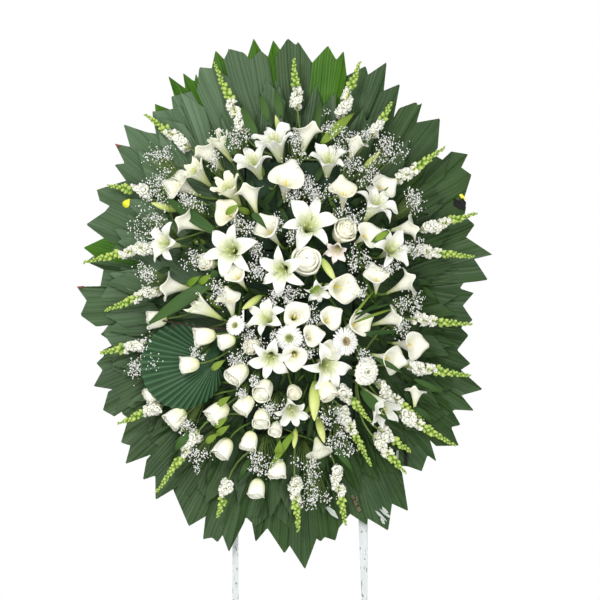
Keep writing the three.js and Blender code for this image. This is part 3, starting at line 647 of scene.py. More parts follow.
def gerbera_rays(random):
    """One unit wide: three rings of narrow rays."""
    parts = []
    rings = [(22, 0.50, -0.02, 0.046), (22, 0.47, 0.01, 0.046), (18, 0.30, 0.04, 0.028)]
    for ring, (count, reach, rise, wide) in enumerate(rings):
        for k in range(count):
            turn = (k + ring * 0.5) * 2 * math.pi / count + random.uniform(-0.04, 0.04)
            far = reach * random.uniform(0.94, 1.03)
            droop = random.uniform(-0.05, 0.02)
            bow = (far * 0.8, rise + 0.03)
            controls = [(0.09, rise - 0.04), (0.2, rise + 0.05), bow, (far, rise + droop)]

            def half_width(s):
                return wide * np.sin(math.pi * (0.12 + 0.80 * s)) ** 0.6 + 0.001

            parts.append(petal(turn, controls, half_width, lambda s, t: -0.014 * t**2, 7, 4))
    return parts


def gerbera_eye(random):
    """The disc of tiny florets, as small cones on a low dome."""
    parts = []
    cones = 90
    for k in range(cones):
        r = 0.145 * math.sqrt((k + 0.5) / cones)
        turn = k * GOLDEN_TURN
        base = np.array([r * math.cos(turn), r * math.sin(turn), 0.05 - 1.2 * r * r])
        lean = base * np.array([0.25, 0.25, 0]) + np.array([0, 0, random.uniform(0.02, 0.04)])
        parts.append(rod([base, base + lean * 0.6, base + lean], [0.010, 0.011, 0.004], 5))
    return parts


def bud(fat=0.13, sides=12, rows=14):
    """One unit long, from -1 to 0: a ribbed spindle with a soft point."""
    s = np.linspace(0, 1, rows)[:, None]
    a = np.linspace(0, 2 * math.pi, sides, endpoint=False)[None, :]
    swell = np.sin(math.pi * np.clip(0.06 + 0.94 * s, 0, 1) ** 0.8) ** 0.75 + 0.05
    girth = fat * swell * (1 + 0.10 * np.cos(3 * a))
    bend = 0.05 * np.sin(math.pi * s)
    points = np.stack([girth * np.cos(a) + bend, girth * np.sin(a), s - 1 + 0 * a], -1)
    return [(points, 0, True)]


def floret(random):
    """A snapdragon floret, one unit wide, looking along +Z: five ruffled lobes round a closed mouth."""
    parts = []
    for k in range(5):
        turn = k * 2 * math.pi / 5 + random.uniform(-0.15, 0.15)
        reach = random.uniform(0.40, 0.52)
        controls = [(0.10, -0.55), (0.16, -0.1), (reach * 0.7, 0.16), (reach, random.uniform(-0.10, 0.05))]
        phase = random.uniform(0, 6)

        def half_width(s):
            return 0.38 * np.sin(math.pi * (0.1 + 0.74 * s)) ** 0.8

        parts.append(petal(turn, controls, half_width, lambda s, t: 0.06 * np.sin(4 * t + phase) * s, 4, 5))
    parts.append(moved(blob(random, 4, 6, 0.12), (0.44, 0.44, 0.44), 0.06))
    return parts


# ---------------------------------------------------------------- the planting plan
# Each bunch's first row is its root against the foam, in the easel's plane. Each further row is
# [kind, across and up of its mouth, across and up of its base, lift off the dome, size].
# Size is a lily's span, a calla's or a bud's length, or the width of a rose, carnation or gerbera.
# A lily adds how far it flares.
BUNCHES = {
    "lily_stem_1": [
        (-35, 300, 108),
        ["lily", -34, 462, -12, 392, 6, 170, 0.62],
        ["lily", -96, 402, -68, 350, 0, 150, 0.66],
        ["bud", -30, 528, -10, 465, -10, 70],
    ],
    "lily_stem_2": [
        (-85, 215, 108),
        ["green_lily", -165, 322, -128, 277, 0, 145, 0.45],
        ["green_lily", -256, 368, -213, 333, 0, 130, 0.35],
        ["green_lily", -186, 450, -153, 400, -8, 125, 0.25],
    ],
    "lily_stem_3": [
        (-90, 105, 108),
        ["lily", -350, 165, -297, 165, 2, 130, 0.85],
        ["lily", -160, 145, -138, 152, 12, 160, 1.0],
        ["bud", -382, 279, -310, 257, -5, 76],
    ],
    "lily_stem_4": [
        (15, 140, 112),
        ["lily", 68, 222, 56, 205, 12, 165, 1.0],
        ["lily", -16, 84, 4, 108, 14, 140, 1.0],
        ["lily", 90, 25, 86, 62, 2, 90, 0.8],
        ["bud", 140, 55, 102, 122, 8, 80],
    ],
    "lily_stem_5": [
        (125, 270, 108),
        ["lily", 262, 285, 222, 232, 4, 145, 1.0],
        ["lily", 120, 408, 116, 352, 4, 150, 0.6],
        ["lily", 306, 152, 268, 136, 4, 140, 0.95],
        ["blush_lily", 142, 140, 150, 175, -6, 100, 0.5],
        ["bud", 266, 424, 220, 380, 0, 72],
    ],
    "lily_stem_6": [
        (-40, -70, 108),
        ["lily", -60, -42, -32, -62, 4, 125, 0.9],
        ["lily", -43, -165, -40, -130, 6, 125, 1.0],
        ["bud", -122, -23, -70, 20, 4, 76],
        ["green_lily", -240, -16, -180, -45, 0, 135, 0.2],
    ],
    "lily_stem_7": [
        (90, -200, 108),
        ["lily", 125, -185, 90, -155, 8, 145, 1.0],
        ["lily", 17, -312, 8, -262, 0, 130, 0.6],
        ["lily", 274, -304, 222, -242, 0, 165, 0.35],
        ["bud", 80, -335, 82, -220, 10, 118],
        ["bud", 108, -397, 90, -320, 2, 84],
        ["bud", 23, -412, 27, -355, 0, 62],
    ],
    "calla_bunch_1": [
        (-122, 300, 78),
        ["calla", -235, 438, -183, 377, -12, 92],
        ["calla", -325, 338, -258, 310, -8, 92],
        ["calla", -105, 327, -83, 255, 12, 90],
        ["cream_calla", -177, 260, -133, 227, 0, 82],
    ],
    "calla_bunch_2": [
        (-122, 40, 78),
        ["calla", -298, 235, -225, 202, -6, 92],
        ["calla", -349, 45, -270, 38, -6, 92],
        ["calla", -162, 23, -148, -38, -2, 80],
        ["calla", -150, 87, -118, 50, 2, 74],
        ["rose", -395, -55, -350, -50, -10, 62],
    ],
    "calla_bunch_3": [
        (25, 350, 108),
        ["calla", 60, 500, 45, 420, 0, 96],
        ["calla", 7, 367, -3, 302, 18, 104],
        ["calla", -63, 220, -23, 173, 6, 90],
    ],
    "calla_bunch_4": [
        (160, 345, 110),
        ["calla", 202, 465, 180, 400, 0, 84],
        ["cream_calla", 161, 330, 160, 272, 6, 84],
        ["calla", 290, 335, 243, 302, -22, 80],
    ],
    "calla_bunch_5": [
        (200, 140, 78),
        ["calla", 374, 214, 298, 205, -4, 92],
        ["calla", 247, 193, 200, 173, 4, 78],
        ["calla", 252, 85, 253, 35, 4, 74],
        ["calla", 365, 60, 293, 30, -2, 94],
        ["rose", 60, 122, 56, 112, 10, 92],
        ["cream_rose", 175, 208, 158, 196, 4, 74],
    ],
    "calla_bunch_6": [
        (160, -60, 108),
        ["calla", 325, -38, 253, -59, -2, 92],
        ["calla", 220, -55, 163, -72, 6, 84],
        ["calla", 177, 32, 120, 55, 10, 96],
        ["calla", 377, -125, 310, -113, -6, 88],
        ["calla", 314, -168, 250, -146, 4, 86],
        ["calla", 370, -240, 363, -295, -8, 70],
        ["gerbera", 168, -113, 160, -112, 8, 82],
    ],
    "calla_bunch_7": [
        (65, -90, 112),
        ["calla", 36, -30, 22, -38, 12, 82],
        ["calla", 136, -40, 95, -55, 6, 76],
        ["calla", 85, -93, 50, -100, 4, 66],
        ["calla", 26, -166, 22, -135, 8, 76],
        ["calla", 134, -137, 100, -135, 0, 66],
    ],
    "rose_bunch_1": [
        (-122, -110, 78),
        ["rose", -260, -102, -218, -95, 8, 66],
        ["rose", -192, -118, -160, -108, 2, 54],
        ["cream_rose", -107, -132, -90, -118, 2, 50],
        ["rose", -300, -181, -252, -175, 10, 60],
        ["rose", -156, -222, -128, -196, 4, 66],
        ["cream_rose", -233, 113, -215, 110, 2, 50],
    ],
    "rose_bunch_2": [
        (-85, -270, 108),
        ["rose", -71, -266, -58, -238, 4, 64],
        ["rose", -131, -314, -108, -285, 0, 60],
        ["rose", -216, -336, -182, -305, 0, 72],
        ["rose", -332, -348, -295, -315, -6, 66],
        ["rose", -400, -274, -362, -255, -10, 54],
    ],
    "rose_bunch_3": [
        (-40, -350, 108),
        ["rose", -70, -348, -66, -318, 0, 58],
        ["rose", -31, -372, -26, -350, -4, 46],
        ["rose", -111, -418, -100, -382, 0, 58],
        ["rose", -189, -438, -168, -402, 0, 62],
        ["rose", -25, -498, -22, -462, 0, 58],
        ["rose", -86, -553, -80, -515, 0, 58],
        ["calla", 102, -440, 84, -372, 0, 88],
    ],
    "gerbera_bunch": [
        (-30, -30, 108),
        ["gerbera", 10, -103, 10, -96, 10, 80],
        ["gerbera", -141, -68, -136, -69, 6, 60],
        ["cream_rose", 25, -263, 20, -245, -4, 44],
        ["cream_rose", 127, -276, 112, -240, -4, 62],
        ["carnation", 228, -198, 215, -190, 0, 76],
    ],
}

# Snapdragon spikes: first the bunch's root, then across and up of each spike's lowest floret and tip.
SPIKES = {
    "snapdragon_bunch_1": [
        (60, 394, 78),
        (-120, 480, -205, 680),
        (33, 547, 23, 690),
        (155, 520, 210, 680),
        (245, 470, 300, 565),
    ],
    "snapdragon_bunch_2": [
        (-124, 230, 72),
        (-274, 436, -400, 530),
        (-380, 310, -505, 328),
        (-375, 155, -570, 110),
    ],
    "snapdragon_bunch_3": [
        (-124, -60, 62),
        (-360, 35, -510, -28),
        (-395, -120, -522, -146),
        (-350, -295, -472, -345),
    ],
    "snapdragon_bunch_4": [
        (200, 230, 72),
        (315, 340, 450, 436),
        (385, 200, 539, 249),
        (365, 145, 529, 125),
    ],
    "snapdragon_bunch_5": [
        (200, -200, 72),
        (355, -50, 523, -66),
        (340, -185, 520, -210),
        (255, -235, 385, -333),
        (320, -315, 475, -406),
        (245, -380, 337, -483),
        (145, -235, 240, -338),
        (260, -360, 350, -422),
    ],
    "snapdragon_bunch_6": [
        (30, -394, 78),
        (-245, -365, -363, -537),
        (-160, -500, -190, -605),
        (25, -490, 35, -643),
        (137, -460, 168, -627),
        (150, -295, 240, -462),
    ],
}

# How long each head is, of its size, and how much of that shows when it lies across the view.
LENGTH = {"lily": 0.55, "calla": 1.0, "bud": 1.0, "rose": 1.0, "carnation": 0.45, "gerbera": 0.2}
SHOWN = {"lily": 1.0, "calla": 0.88, "bud": 1.0, "rose": 0.60, "carnation": 1.0, "gerbera": 1.0}
# The radius of each kind's stem.
STEM = {"lily": 3.6, "calla": 4.2, "bud": 3.0, "rose": 3.0, "carnation": 3.0, "gerbera": 3.0}
MOST_NOD = 84
SEEN_FROM_BEHIND = 64  # the nod above which a calla turns its long lip to the viewer
SEEN_FROM_THE_SIDE = 50  # the nod above which a rose is a tall cup
TAN_EYE_FROM = 81  # the width from which a gerbera's eye is tan and not green


def flower_stance(family, across, up, base_across, base_up, lift, size):
    """Where a flower's mouth is, how far it nods, the way it looks, and where its base is."""
    reach = math.hypot(across - base_across, up - base_up)
    nod = math.degrees(math.asin(min(1.0, reach / (LENGTH[family] * SHOWN[family] * size))))
    nod = min(MOST_NOD, nod)
    direction = heading(math.degrees(math.atan2(up - base_up, across - base_across)), nod)
    mouth = on_dome(across, up, lift)
    return mouth, nod, direction, mouth - direction * LENGTH[family] * size * MM


STEM_POINTS = 9  # on each stem's bend


def stem_path(root, tip, direction):
    """From the root in the foam, bending to meet the flower along its own axis."""
    elbow = tip - direction * 0.45 * (tip - root).length
    s = np.linspace(0, 1, STEM_POINTS)[:, None]
    return (1 - s) ** 2 * np.array(root) + 2 * s * (1 - s) * np.array(elbow) + s**2 * np.array(tip)


def plant_flower(name, bunch, root, row, stems):
    """One flower of the plan, and its stem down to the bunch's root."""
    kind, *place, size = row[:7]
    flare = row[7] if len(row) > 7 else 1.0
    family = kind.split("_")[-1]
    mouth, nod, direction, base = flower_stance(family, *place, size)
    random = np.random.default_rng(int(abs(place[0]) * 7 + abs(place[1]) * 3 + size))
    # a flower's X axis is turned up the far side, so that its long lip can be told from the near one
    basis = looking(direction, -OUT) @ Matrix.Rotation(random.uniform(-0.4, 0.4), 3, "Z")
    slot = {"bud": "lily", "carnation": "rose"}.get(family, family)

    def add(label, parts, *materials, thickness=0.5):
        piece = Piece(*materials)
        piece.place(parts, mouth, basis, size * MM)
        piece.build(f"{name}_{label}", slot, replaces=[bunch], thickness=thickness)

    if family == "lily":
        add("petals", lily(flare, random), kind)
        add("stamens", lily_stamens(flare, random), "bud", "anther", thickness=0)
    elif family == "calla":
        add("spathe", calla(random, nod > SEEN_FROM_BEHIND), kind)
        add("spadix", calla_spadix(), "spadix", thickness=0)
    elif family == "rose":
        add("petals", rose(random, float(nod > SEEN_FROM_THE_SIDE)), kind)
    elif family == "carnation":
        add("petals", carnation(random), "floret")
    elif family == "gerbera":
        eye = "green_eye" if size < TAN_EYE_FROM else "tan_eye"
        add("rays", gerbera_rays(random), "gerbera")
        add("eye", gerbera_eye(random), eye, thickness=0)
    else:
        add("bud", bud(), "bud", thickness=0)
    path = stem_path(at(*root), base + direction * 4 * MM, direction)
    stems.tube(path, STEM[family] * MM, tint=random.uniform(0, 0.4))


def plant_bunches():
    """The flowers of each bunch, and their stems in one piece."""
    for bunch, (root, *rows) in BUNCHES.items():
        stems = Piece("stem")
        tally = {}
        for row in rows:
            family = row[0].split("_")[-1]
            tally[family] = tally.get(family, 0) + 1
            plant_flower(f"{bunch}_{family}_{tally[family]}", bunch, root, row, stems)
        stems.build(f"{bunch}_stems", bunch.split("_")[0], replaces=[bunch])


# How far the lowest floret and the tip are lifted off the dome, the step from one floret or bud to
# the next, and the sizes of florets and buds, which shrink towards the tip.
SPIKE = {"low_lift": -34, "tip_lift": -16, "step": 3.4, "floret": (31, 21), "bud": (19, 7)}


def plant_spike(name, bunch, root, spike, stems):
    """Open florets on the lower part of a spike, buds on the rest."""
    across, up, tip_across, tip_up = spike
    low = on_dome(across, up, SPIKE["low_lift"])
    tip = on_dome(tip_across, tip_up, SPIKE["tip_lift"])
    axis = tip - low
    length = axis.length
    direction = axis.normalized()
    random = np.random.default_rng(int(abs(across) + abs(tip_up)))
    florets, buds = Piece("floret"), Piece("spike_bud")
    open_share = random.uniform(0.38, 0.52)
    count = int(length / MM / SPIKE["step"])
    for k in range(count):
        s = (k + 0.5) / count
        turn = k * GOLDEN_TURN + random.uniform(-0.5, 0.5)
        side = looking(direction) @ Vector((math.cos(turn), math.sin(turn), 0))
        base = low + axis * s
        if s < open_share:
            if k % 3 == 2:
                continue
            outward = (side + direction * 0.65).normalized()
            size = lerp(*SPIKE["floret"], s / open_share) * random.uniform(0.8, 1.2)
            spin = looking(outward) @ Matrix.Rotation(random.uniform(0, 6), 3, "Z")
            florets.place(floret(random), base + outward * size * 0.55 * MM, spin, size * MM)
        else:
            share = (s - open_share) / (1 - open_share)
            outward = (side + direction * lerp(0.6, 1.7, share)).normalized()
            long = lerp(*SPIKE["bud"], share**0.8) * random.uniform(0.75, 1.15)
            form = bud(fat=0.38, sides=6, rows=7)
            buds.place(form, base + outward * long * 1.15 * MM, looking(outward), long * MM)
    florets.build(f"{name}_florets", "snapdragon", replaces=[bunch], thickness=0.4)
    buds.build(f"{name}_buds", "snapdragon", replaces=[bunch])
    path = np.vstack([stem_path(at(*root), low, direction)[:-1], np.linspace(low, tip, 8)])
    radii = np.concatenate([np.full(STEM_POINTS - 1, 3.0), np.linspace(2.6, 1.2, 8)]) * MM
    stems.tube(path, radii, tint=0.5)


def plant_spikes():
    """The spikes of each snapdragon bunch, and their stems in one piece."""
    for bunch, (root, *spikes) in SPIKES.items():
        stems = Piece("stem")
        for k, spike in enumerate(spikes):
            plant_spike(f"{bunch}_spike_{k + 1}", bunch, root, spike, stems)
        stems.build(f"{bunch}_stems", "snapdragon", replaces=[bunch])


# ---------------------------------------------------------------- palm leaves
# For each CAD leaf, clockwise from the top: the lobes that show. Each is [1 if it is bright, its tint
# towards pale grey-green (random tone, and painted sky reflection at the upper left), its height off the
# rails, and the points of its trimmed edge as seen from ahead].
LOBES = {
    "palm_leaf_01": [
        [1, 0.0, 4, (-55, 690), (-37, 748), (-17, 720)],
        [0, 0.2, 8, (-30, 700), (5, 753), (28, 733), (35, 743), (75, 682)],
    ],
    "palm_leaf_02": [
        [1, 0.0, 12, (75, 682), (120, 732), (144, 690), (165, 716), (174, 642)],
        [0, 0.2, 6, (165, 640), (228, 673), (235, 648), (288, 684), (279, 597)],
    ],
    "palm_leaf_03": [
        [0, 0.15, 14, (270, 597), (326, 621), (307, 522)],
        [0, 0.1, 10, (307, 522), (323, 551), (372, 569), (377, 559), (389, 566), (373, 510),
         (440, 522), (433, 437)],
        [0, 0.0, 5, (400, 430), (457, 397), (423, 355)],
    ],
    "palm_leaf_04": [
        [0, 0.05, 8, (451, 354), (470, 427), (519, 419), (500, 381), (529, 360), (509, 298), (495, 262)],
    ],
    "palm_leaf_05": [
        [0, 0.05, 12, (480, 285), (513, 268), (508, 243), (537, 217), (511, 180)],
        [0, 0.15, 8, (500, 190), (587, 132), (533, 123), (574, 60), (506, 54), (492, 33)],
    ],
    "palm_leaf_06": [
        [0, 0.1, 14, (480, 40), (533, 23), (502, -13), (530, -55), (497, -73)],
        [0, 0.0, 9, (480, -60), (518, -97), (485, -139), (523, -177), (495, -195)],
    ],
    "palm_leaf_07": [
        [0, 0.1, 5, (490, -190), (557, -250), (497, -267), (532, -310), (476, -307), (455, -325)],
        [0, 0.0, 10, (452, -278), (494, -350), (467, -356), (488, -408), (424, -409)],
    ],
    "palm_leaf_08": [
        [0, 0.1, 12, (404, -384), (425, -453), (400, -435), (383, -480), (344, -466), (325, -465)],
    ],
    "palm_leaf_09": [
        [0, 0.1, 6, (328, -484), (345, -592), (304, -573), (280, -560)],
        [0, 0.15, 14, (300, -565), (288, -646), (231, -612), (229, -631), (180, -598)],
    ],
    "palm_leaf_10": [
        [0, 0.0, 8, (183, -597), (149, -639), (140, -674), (109, -664), (98, -677), (88, -669)],
        [0, 0.1, 13, (90, -660), (54, -754), (10, -686)],
    ],
    "palm_leaf_11": [
        [0, 0.0, 5, (30, -660), (-4, -710), (-52, -639), (-85, -678), (-97, -615), (-112, -592)],
        [0, 0.1, 12, (-117, -622), (-160, -706), (-178, -658), (-192, -679), (-207, -665),
         (-233, -670), (-226, -609)],
    ],
    "palm_leaf_12": [
        [0, 0.1, 6, (-215, -600), (-273, -634), (-316, -535)],
        [0, 0.15, 12, (-300, -520), (-367, -560), (-368, -492), (-403, -504), (-393, -448)],
    ],
    "palm_leaf_13": [
        [0, 0.1, 6, (-385, -435), (-453, -460), (-439, -408), (-466, -400), (-445, -331),
         (-464, -318), (-457, -270)],
        [0, 0.15, 14, (-469, -270), (-483, -327), (-517, -308), (-502, -256)],
    ],
    "palm_leaf_14": [
        [0, 0.2, 8, (-490, -250), (-544, -241), (-519, -195), (-537, -176), (-514, -154),
         (-521, -140), (-480, -120)],
        [0, 0.3, 4, (-484, -121), (-526, -94), (-491, -64)],
    ],
    "palm_leaf_15": [
        [0, 0.25, 12, (-485, -60), (-537, -73), (-583, -40), (-562, 8)],
        [0, 0.3, 7, (-550, -20), (-594, 41), (-527, 42), (-518, 90)],
    ],
    "palm_leaf_16": [
        [0, 0.3, 5, (-515, 88), (-568, 112), (-548, 127)],
        [1, 0.0, 7, (-535, 120), (-576, 152), (-512, 182)],
        [0, 0.35, 10, (-505, 170), (-569, 218), (-515, 255), (-491, 284)],
    ],
    "palm_leaf_17": [
        [0, 0.35, 14, (-490, 284), (-530, 285), (-539, 317), (-455, 343)],
        [0, 0.5, 7, (-450, 335), (-489, 389), (-460, 393), (-488, 449), (-445, 440)],
    ],
    "palm_leaf_18": [
        [0, 0.65, 6, (-445, 440), (-464, 505), (-398, 482), (-372, 478)],
        [0, 0.6, 11, (-370, 475), (-380, 521), (-382, 542), (-371, 542), (-327, 548), (-300, 560)],
        [1, 0.0, 4, (-372, 530), (-375, 564), (-325, 545)],
        [0, 0.65, 15, (-320, 530), (-328, 585), (-300, 590), (-270, 600)],
        [1, 0.0, 8, (-316, 575), (-337, 644), (-288, 608), (-295, 653), (-262, 628),
         (-258, 651), (-245, 620)],
    ],
    "palm_leaf_19": [
        [0, 0.6, 14, (-255, 600), (-248, 669), (-205, 665), (-165, 640)],
        [1, 0.0, 3, (-214, 660), (-202, 718), (-170, 685), (-165, 725), (-140, 680)],
        [0, 0.4, 10, (-178, 690), (-163, 722), (-120, 711), (-103, 690), (-73, 718), (-50, 690)],
        [1, 0.0, 5, (-110, 700), (-93, 753), (-70, 715), (-50, 698)],
    ],
}
HUB = np.array([BOARD_RIGHT, 0])  # the stalks run in towards the middle of the foam
# A pleat's and a finger's width along the trimmed edge, how high a pleat's ridge and a finger's step
# stand, and how far the blade's sides rise above its midrib.
PLEATS = {"beside": 23, "aslant": 46, "finger": 58, "ridge": 0.8, "step": 3.4, "dish": 7}
# The collar's own leaves: how many a layer has, where a layer lies off the rails, how far out its
# leaves end, as a share of the outline, and how near the hub their necks are.
COLLAR_LEAVES = 23
COLLAR = {
    "under": {"w": 2.5, "end": 0.885, "neck": 0.25},
    "over": {"w": 21, "end": 0.83, "neck": 0.36},
}


def laid(flat, off):
    """The points that are seen at these places, each so far off the rails."""
    return [seen(across, up, w) for (across, up), w in zip(flat, off)]


def along_line(corners, count):
    """Evenly spaced points on the line through the corners, how far along it they are, and its
    length. Count tells how many points a line of that length has."""
    corners = np.array(corners, float)
    steps = np.concatenate([[0], np.cumsum(np.linalg.norm(np.diff(corners, axis=0), axis=1))])
    t = np.linspace(0, steps[-1], count(steps[-1]))
    return np.stack([np.interp(t, steps, corners[:, k]) for k in (0, 1)], -1), t, steps[-1]


def palm_blade(piece, material, tint, w, corners, reach=0.30, skew=0.0, slant=0.2):
    """A pleated blade whose ribs leave its midrib one after another and run out to its trimmed edge,
    which passes through the corners. Its neck is a share of the way, the reach, from the hub to the
    edge's middle, and moved sideways by the skew. With slant 0 the ribs run beside the midrib, with 1
    they spread from it at once, as in a herringbone."""
    pitch = lerp(PLEATS["beside"], PLEATS["aslant"], slant)
    edge, t, length = along_line(corners, lambda length: 4 * max(5, int(length / pitch)) + 1)
    fingers = max(2, round(length / PLEATS["finger"]))
    middle = edge[len(t) // 2]
    neck = HUB * (1 - reach) + middle * reach
    neck = neck + np.array([HUB[1] - middle[1], middle[0] - HUB[0]]) * skew
    along = middle - neck
    side = np.array([-along[1], along[0]]) / np.linalg.norm(along)
    share = np.abs(np.linspace(-1, 1, len(t)))
    start = neck + np.outer(1 - share ** lerp(0.8, 1.3, slant), along) * lerp(0.86, 1.0, slant)
    lateral = (edge - middle) @ side
    bend = neck + np.outer(0.42 + 0.5 * (1 - share), along) + np.outer(lateral * 0.93, side)
    bend = lerp(bend, (start + edge) / 2, slant * 0.7)
    ridge = np.where(np.arange(len(t)) % 2, 1.0, -1.0)
    shingle = np.abs((t / length * fingers) % 1.0 - 0.12)
    rows, tints = [], []
    for s in np.linspace(0, 1, 10):
        flat = start * (1 - s) ** 2 + 2 * bend * s * (1 - s) + edge * s**2
        open_out = math.sin(math.pi * min(1.0, s * 1.2 + 0.04) / 2)
        fold = (ridge * PLEATS["ridge"] + PLEATS["step"] * shingle) * open_out
        dish = PLEATS["dish"] * share * s
        rows.append(laid(flat, w + fold + dish))
        # Tint: paler on each pleat ridge and where a finger stands higher, a painted highlight, and darker
        # where it lies low just past a finger's step, a painted shadow; the paler midrib is the leaf's own
        # colour.
        tints.append(tint + 0.04 * (ridge > 0) + 0.07 * shingle + 0.30 * (share < 0.02))
    piece.grid(np.array(rows), material, tint=np.array(tints))


OUTLINE = (562, 712)  # half the width and height of the collar's trimmed edge


def outline_reach(angle):
    """How far the trimmed edge of the collar is from the wreath's middle at an angle."""
    return 1 / math.hypot(math.cos(angle) / OUTLINE[0], math.sin(angle) / OUTLINE[1])


# The ends of the collar's own leaves: across, in shares of half a leaf's width, and how much farther
# out than the layer's share of the outline.
COLLAR_ENDS = {
    "under": [(-1, 0.0), (-0.5, 0.03), (-0.05, -0.03), (0.05, -0.03), (0.5, 0.03), (1, 0.0)],
    "over": [(-0.85, -0.26), (-1, -0.05), (-0.5, 0.06), (0, -0.13), (0.5, 0.06), (1, -0.05), (0.85, -0.26)],
}


def collar_leaf(random, angle, share, layer, tint, w):
    """A leaf of the collar that is not on the outline: a blade with a notched end."""
    spread = random.uniform(0.14, 0.20)
    corners = []
    for across, above in COLLAR_ENDS[layer]:
        a = angle + across * spread
        reach = outline_reach(a) * (share + above + random.uniform(-0.012, 0.012))
        corners.append((reach * math.cos(a), reach * math.sin(a)))
    piece = Piece("palm_leaf")
    skew = random.uniform(-0.16, 0.16) if layer == "over" else 0.0
    palm_blade(piece, 0, tint, w, corners, COLLAR[layer]["neck"], skew, float(layer == "over"))
    return piece


def painted_sky_sheen(angle):
    """How much painted sky reflection greys and pales the leaves at the upper left, more than the rest."""
    return 0.62 * max(0.0, math.cos(angle - math.radians(140))) ** 1.3 - 0.02


def plant_collar():
    """The leaves under and over those on the outline. The upper ones reach farther at the upper left."""
    for layer, shape in COLLAR.items():
        for k in range(COLLAR_LEAVES):
            turn = (k + 0.5 * (layer == "over")) * 2 * math.pi / COLLAR_LEAVES
            angle = turn + rng.uniform(-0.07, 0.07)
            # Random tone, plus painted sky reflection that greys and pales the leaves at the upper left.
            tint = max(0.0, painted_sky_sheen(angle) + rng.uniform(-0.10, 0.16))
            share = shape["end"] + rng.uniform(-0.05, 0.02)
            if layer == "over":
                share += 0.09 * max(0.0, math.cos(angle - math.radians(128))) ** 4
            piece = collar_leaf(rng, angle, share, layer, tint, shape["w"] + rng.uniform(0, 11))
            piece.build(f"collar_leaf_{layer}_{k + 1:02d}", "palm_leaf", thickness=0.7, smooth=False)


def plant_palm_leaves():
    """The lobes of the leaves on the outline."""
    for node, lobes in LOBES.items():
        for k, (bright, tint, w, *corners) in enumerate(lobes):
            piece = Piece("palm_leaf", "bright_palm")
            palm_blade(piece, bright, tint, w, corners)
            piece.build(f"{node}_lobe_{k + 1}", "palm_leaf", replaces=[node], thickness=0.7, smooth=False)


FAN = {
    "hub": (-195, -168),
    "middle": (-290, -182),
    "half": (117, 122),
    "root": (-122, -160, 78),
    "pleats": 36,
    "w": 128,
    "droop": 30,
}


def plant_fan_leaf():
    """The round leaf on the left, pleated from its hub."""
    piece = Piece("fan_leaf")
    hub, middle, half = (np.array(FAN[key]) for key in ("hub", "middle", "half"))
    a = np.linspace(0, 2 * math.pi, FAN["pleats"] * 4 + 1)
    ridge = np.resize([-1.0, 0.1, 1.0, 0.1], len(a))
    edge = middle + np.stack([np.cos(a), np.sin(a)], -1) * half * (1 + 0.010 * ridge)[:, None]
    rows, tints = [], []
    for s in np.linspace(0.02, 1, 12):
        flat = hub + (edge - hub) * s
        fold = 2.2 * ridge * s
        rows.append(laid(flat, FAN["w"] - FAN["droop"] * s**2 + fold))
        # The fold ridges are tinted paler than the valleys: a painted highlight where the ridges catch the
        # light.
        tints.append(np.where(ridge > 0.5, 0.62, 0.12))
    piece.grid(np.array(rows), tint=np.array(tints))
    path = stem_path(at(*FAN["root"]), seen(*FAN["hub"], FAN["w"] - 2), -RIGHT)
    piece.tube(path, 3 * MM)
    piece.build("fan_palm_leaf_blade", "fan_leaf", replaces=["fan_palm_leaf"], thickness=0.6, smooth=False)


# ---------------------------------------------------------------- greenery
# Sword leaves: tip, base, width, lift of tip and base off the dome, and 0 for green, 1 for lime or 2
# for yellow.
SWORDS = [
    (-355, 300, -190, 185, 34, 6, -14, 0),
    (-400, -75, -200, 60, 40, 6, -14, 0),
    (-16, -385, -20, -430, 24, 8, -6, 1),
    (310, -20, 190, -62, 7, 2, -8, 1),
    (285, 8, 195, -52, 6, 2, -8, 0),
    (245, 25, 180, -55, 6, 2, -8, 1),
    (-210, 92, -195, 62, 20, 2, -10, 0),
    (-441, 290, -456, 265, 20, 30, 22, 2),
    (195, 535, 100, 445, 30, 0, -20, 1),
    (-127, 560, -80, 440, 30, -20, -30, 0),
    (-73, 590, -50, 510, 22, -20, -30, 0),
    (-30, 605, -15, 520, 22, -20, -30, 0),
    (100, 580, 85, 460, 15, -10, -20, 0),
    (-185, 480, -140, 410, 25, -10, -20, 0),
    (320, -2, 180, -44, 7, 0, -10, 0),
    (338, -86, 200, -95, 13, -4, -12, 0),
    (330, -205, 250, -160, 15, 0, -10, 0),
    (450, -265, 360, -220, 15, -10, -20, 0),
    (415, -340, 360, -300, 18, -10, -20, 0),
    (192, -483, 130, -400, 18, -5, -20, 0),
    (290, -340, 210, -250, 30, -5, -20, 0),
    (-45, -470, 20, -370, 20, 0, -20, 1),
    (-135, -510, -100, -440, 15, 0, -20, 0),
    (-313, -423, -270, -370, 25, -5, -20, 0),
    (-52, 200, -94, 246, 20, 30, 24, 0),
    (300, 205, 235, 150, 22, 0, -20, 0),
]
# The middles of short lime-green leaves.
OVALS = [
    (-172, -279), (-188, -178), (-175, -361), (-205, -383), (-180, -339),
    (-225, 62), (-258, 57), (84, 36), (270, 183), (-150, 258),
]


def sword(piece, tip, base, wide, lift_tip, lift_base, material, bow=14, rows=10):
    """A long leaf with a folded midrib from its base to its pointed tip."""
    start, end = on_dome(*base, lift_base), on_dome(*tip, lift_tip)
    along = (end - start).normalized()
    side = along.cross(OUT).normalized()
    normal = side.cross(along)
    points = []
    for s in np.linspace(0, 1, rows):
        half = wide / 2 * math.sin(math.pi * (0.06 + 0.94 * s) ** 0.8) ** 1.1 + 0.3
        centre = start.lerp(end, s) + normal * bow * math.sin(math.pi * s) * MM
        wings = (-1, -0.5, 0, 0.5, 1)
        points.append([centre + side * half * t * MM + normal * 3.5 * abs(t) * MM for t in wings])
    piece.grid(np.array(points), material, tint=rng.uniform(0, 0.3))


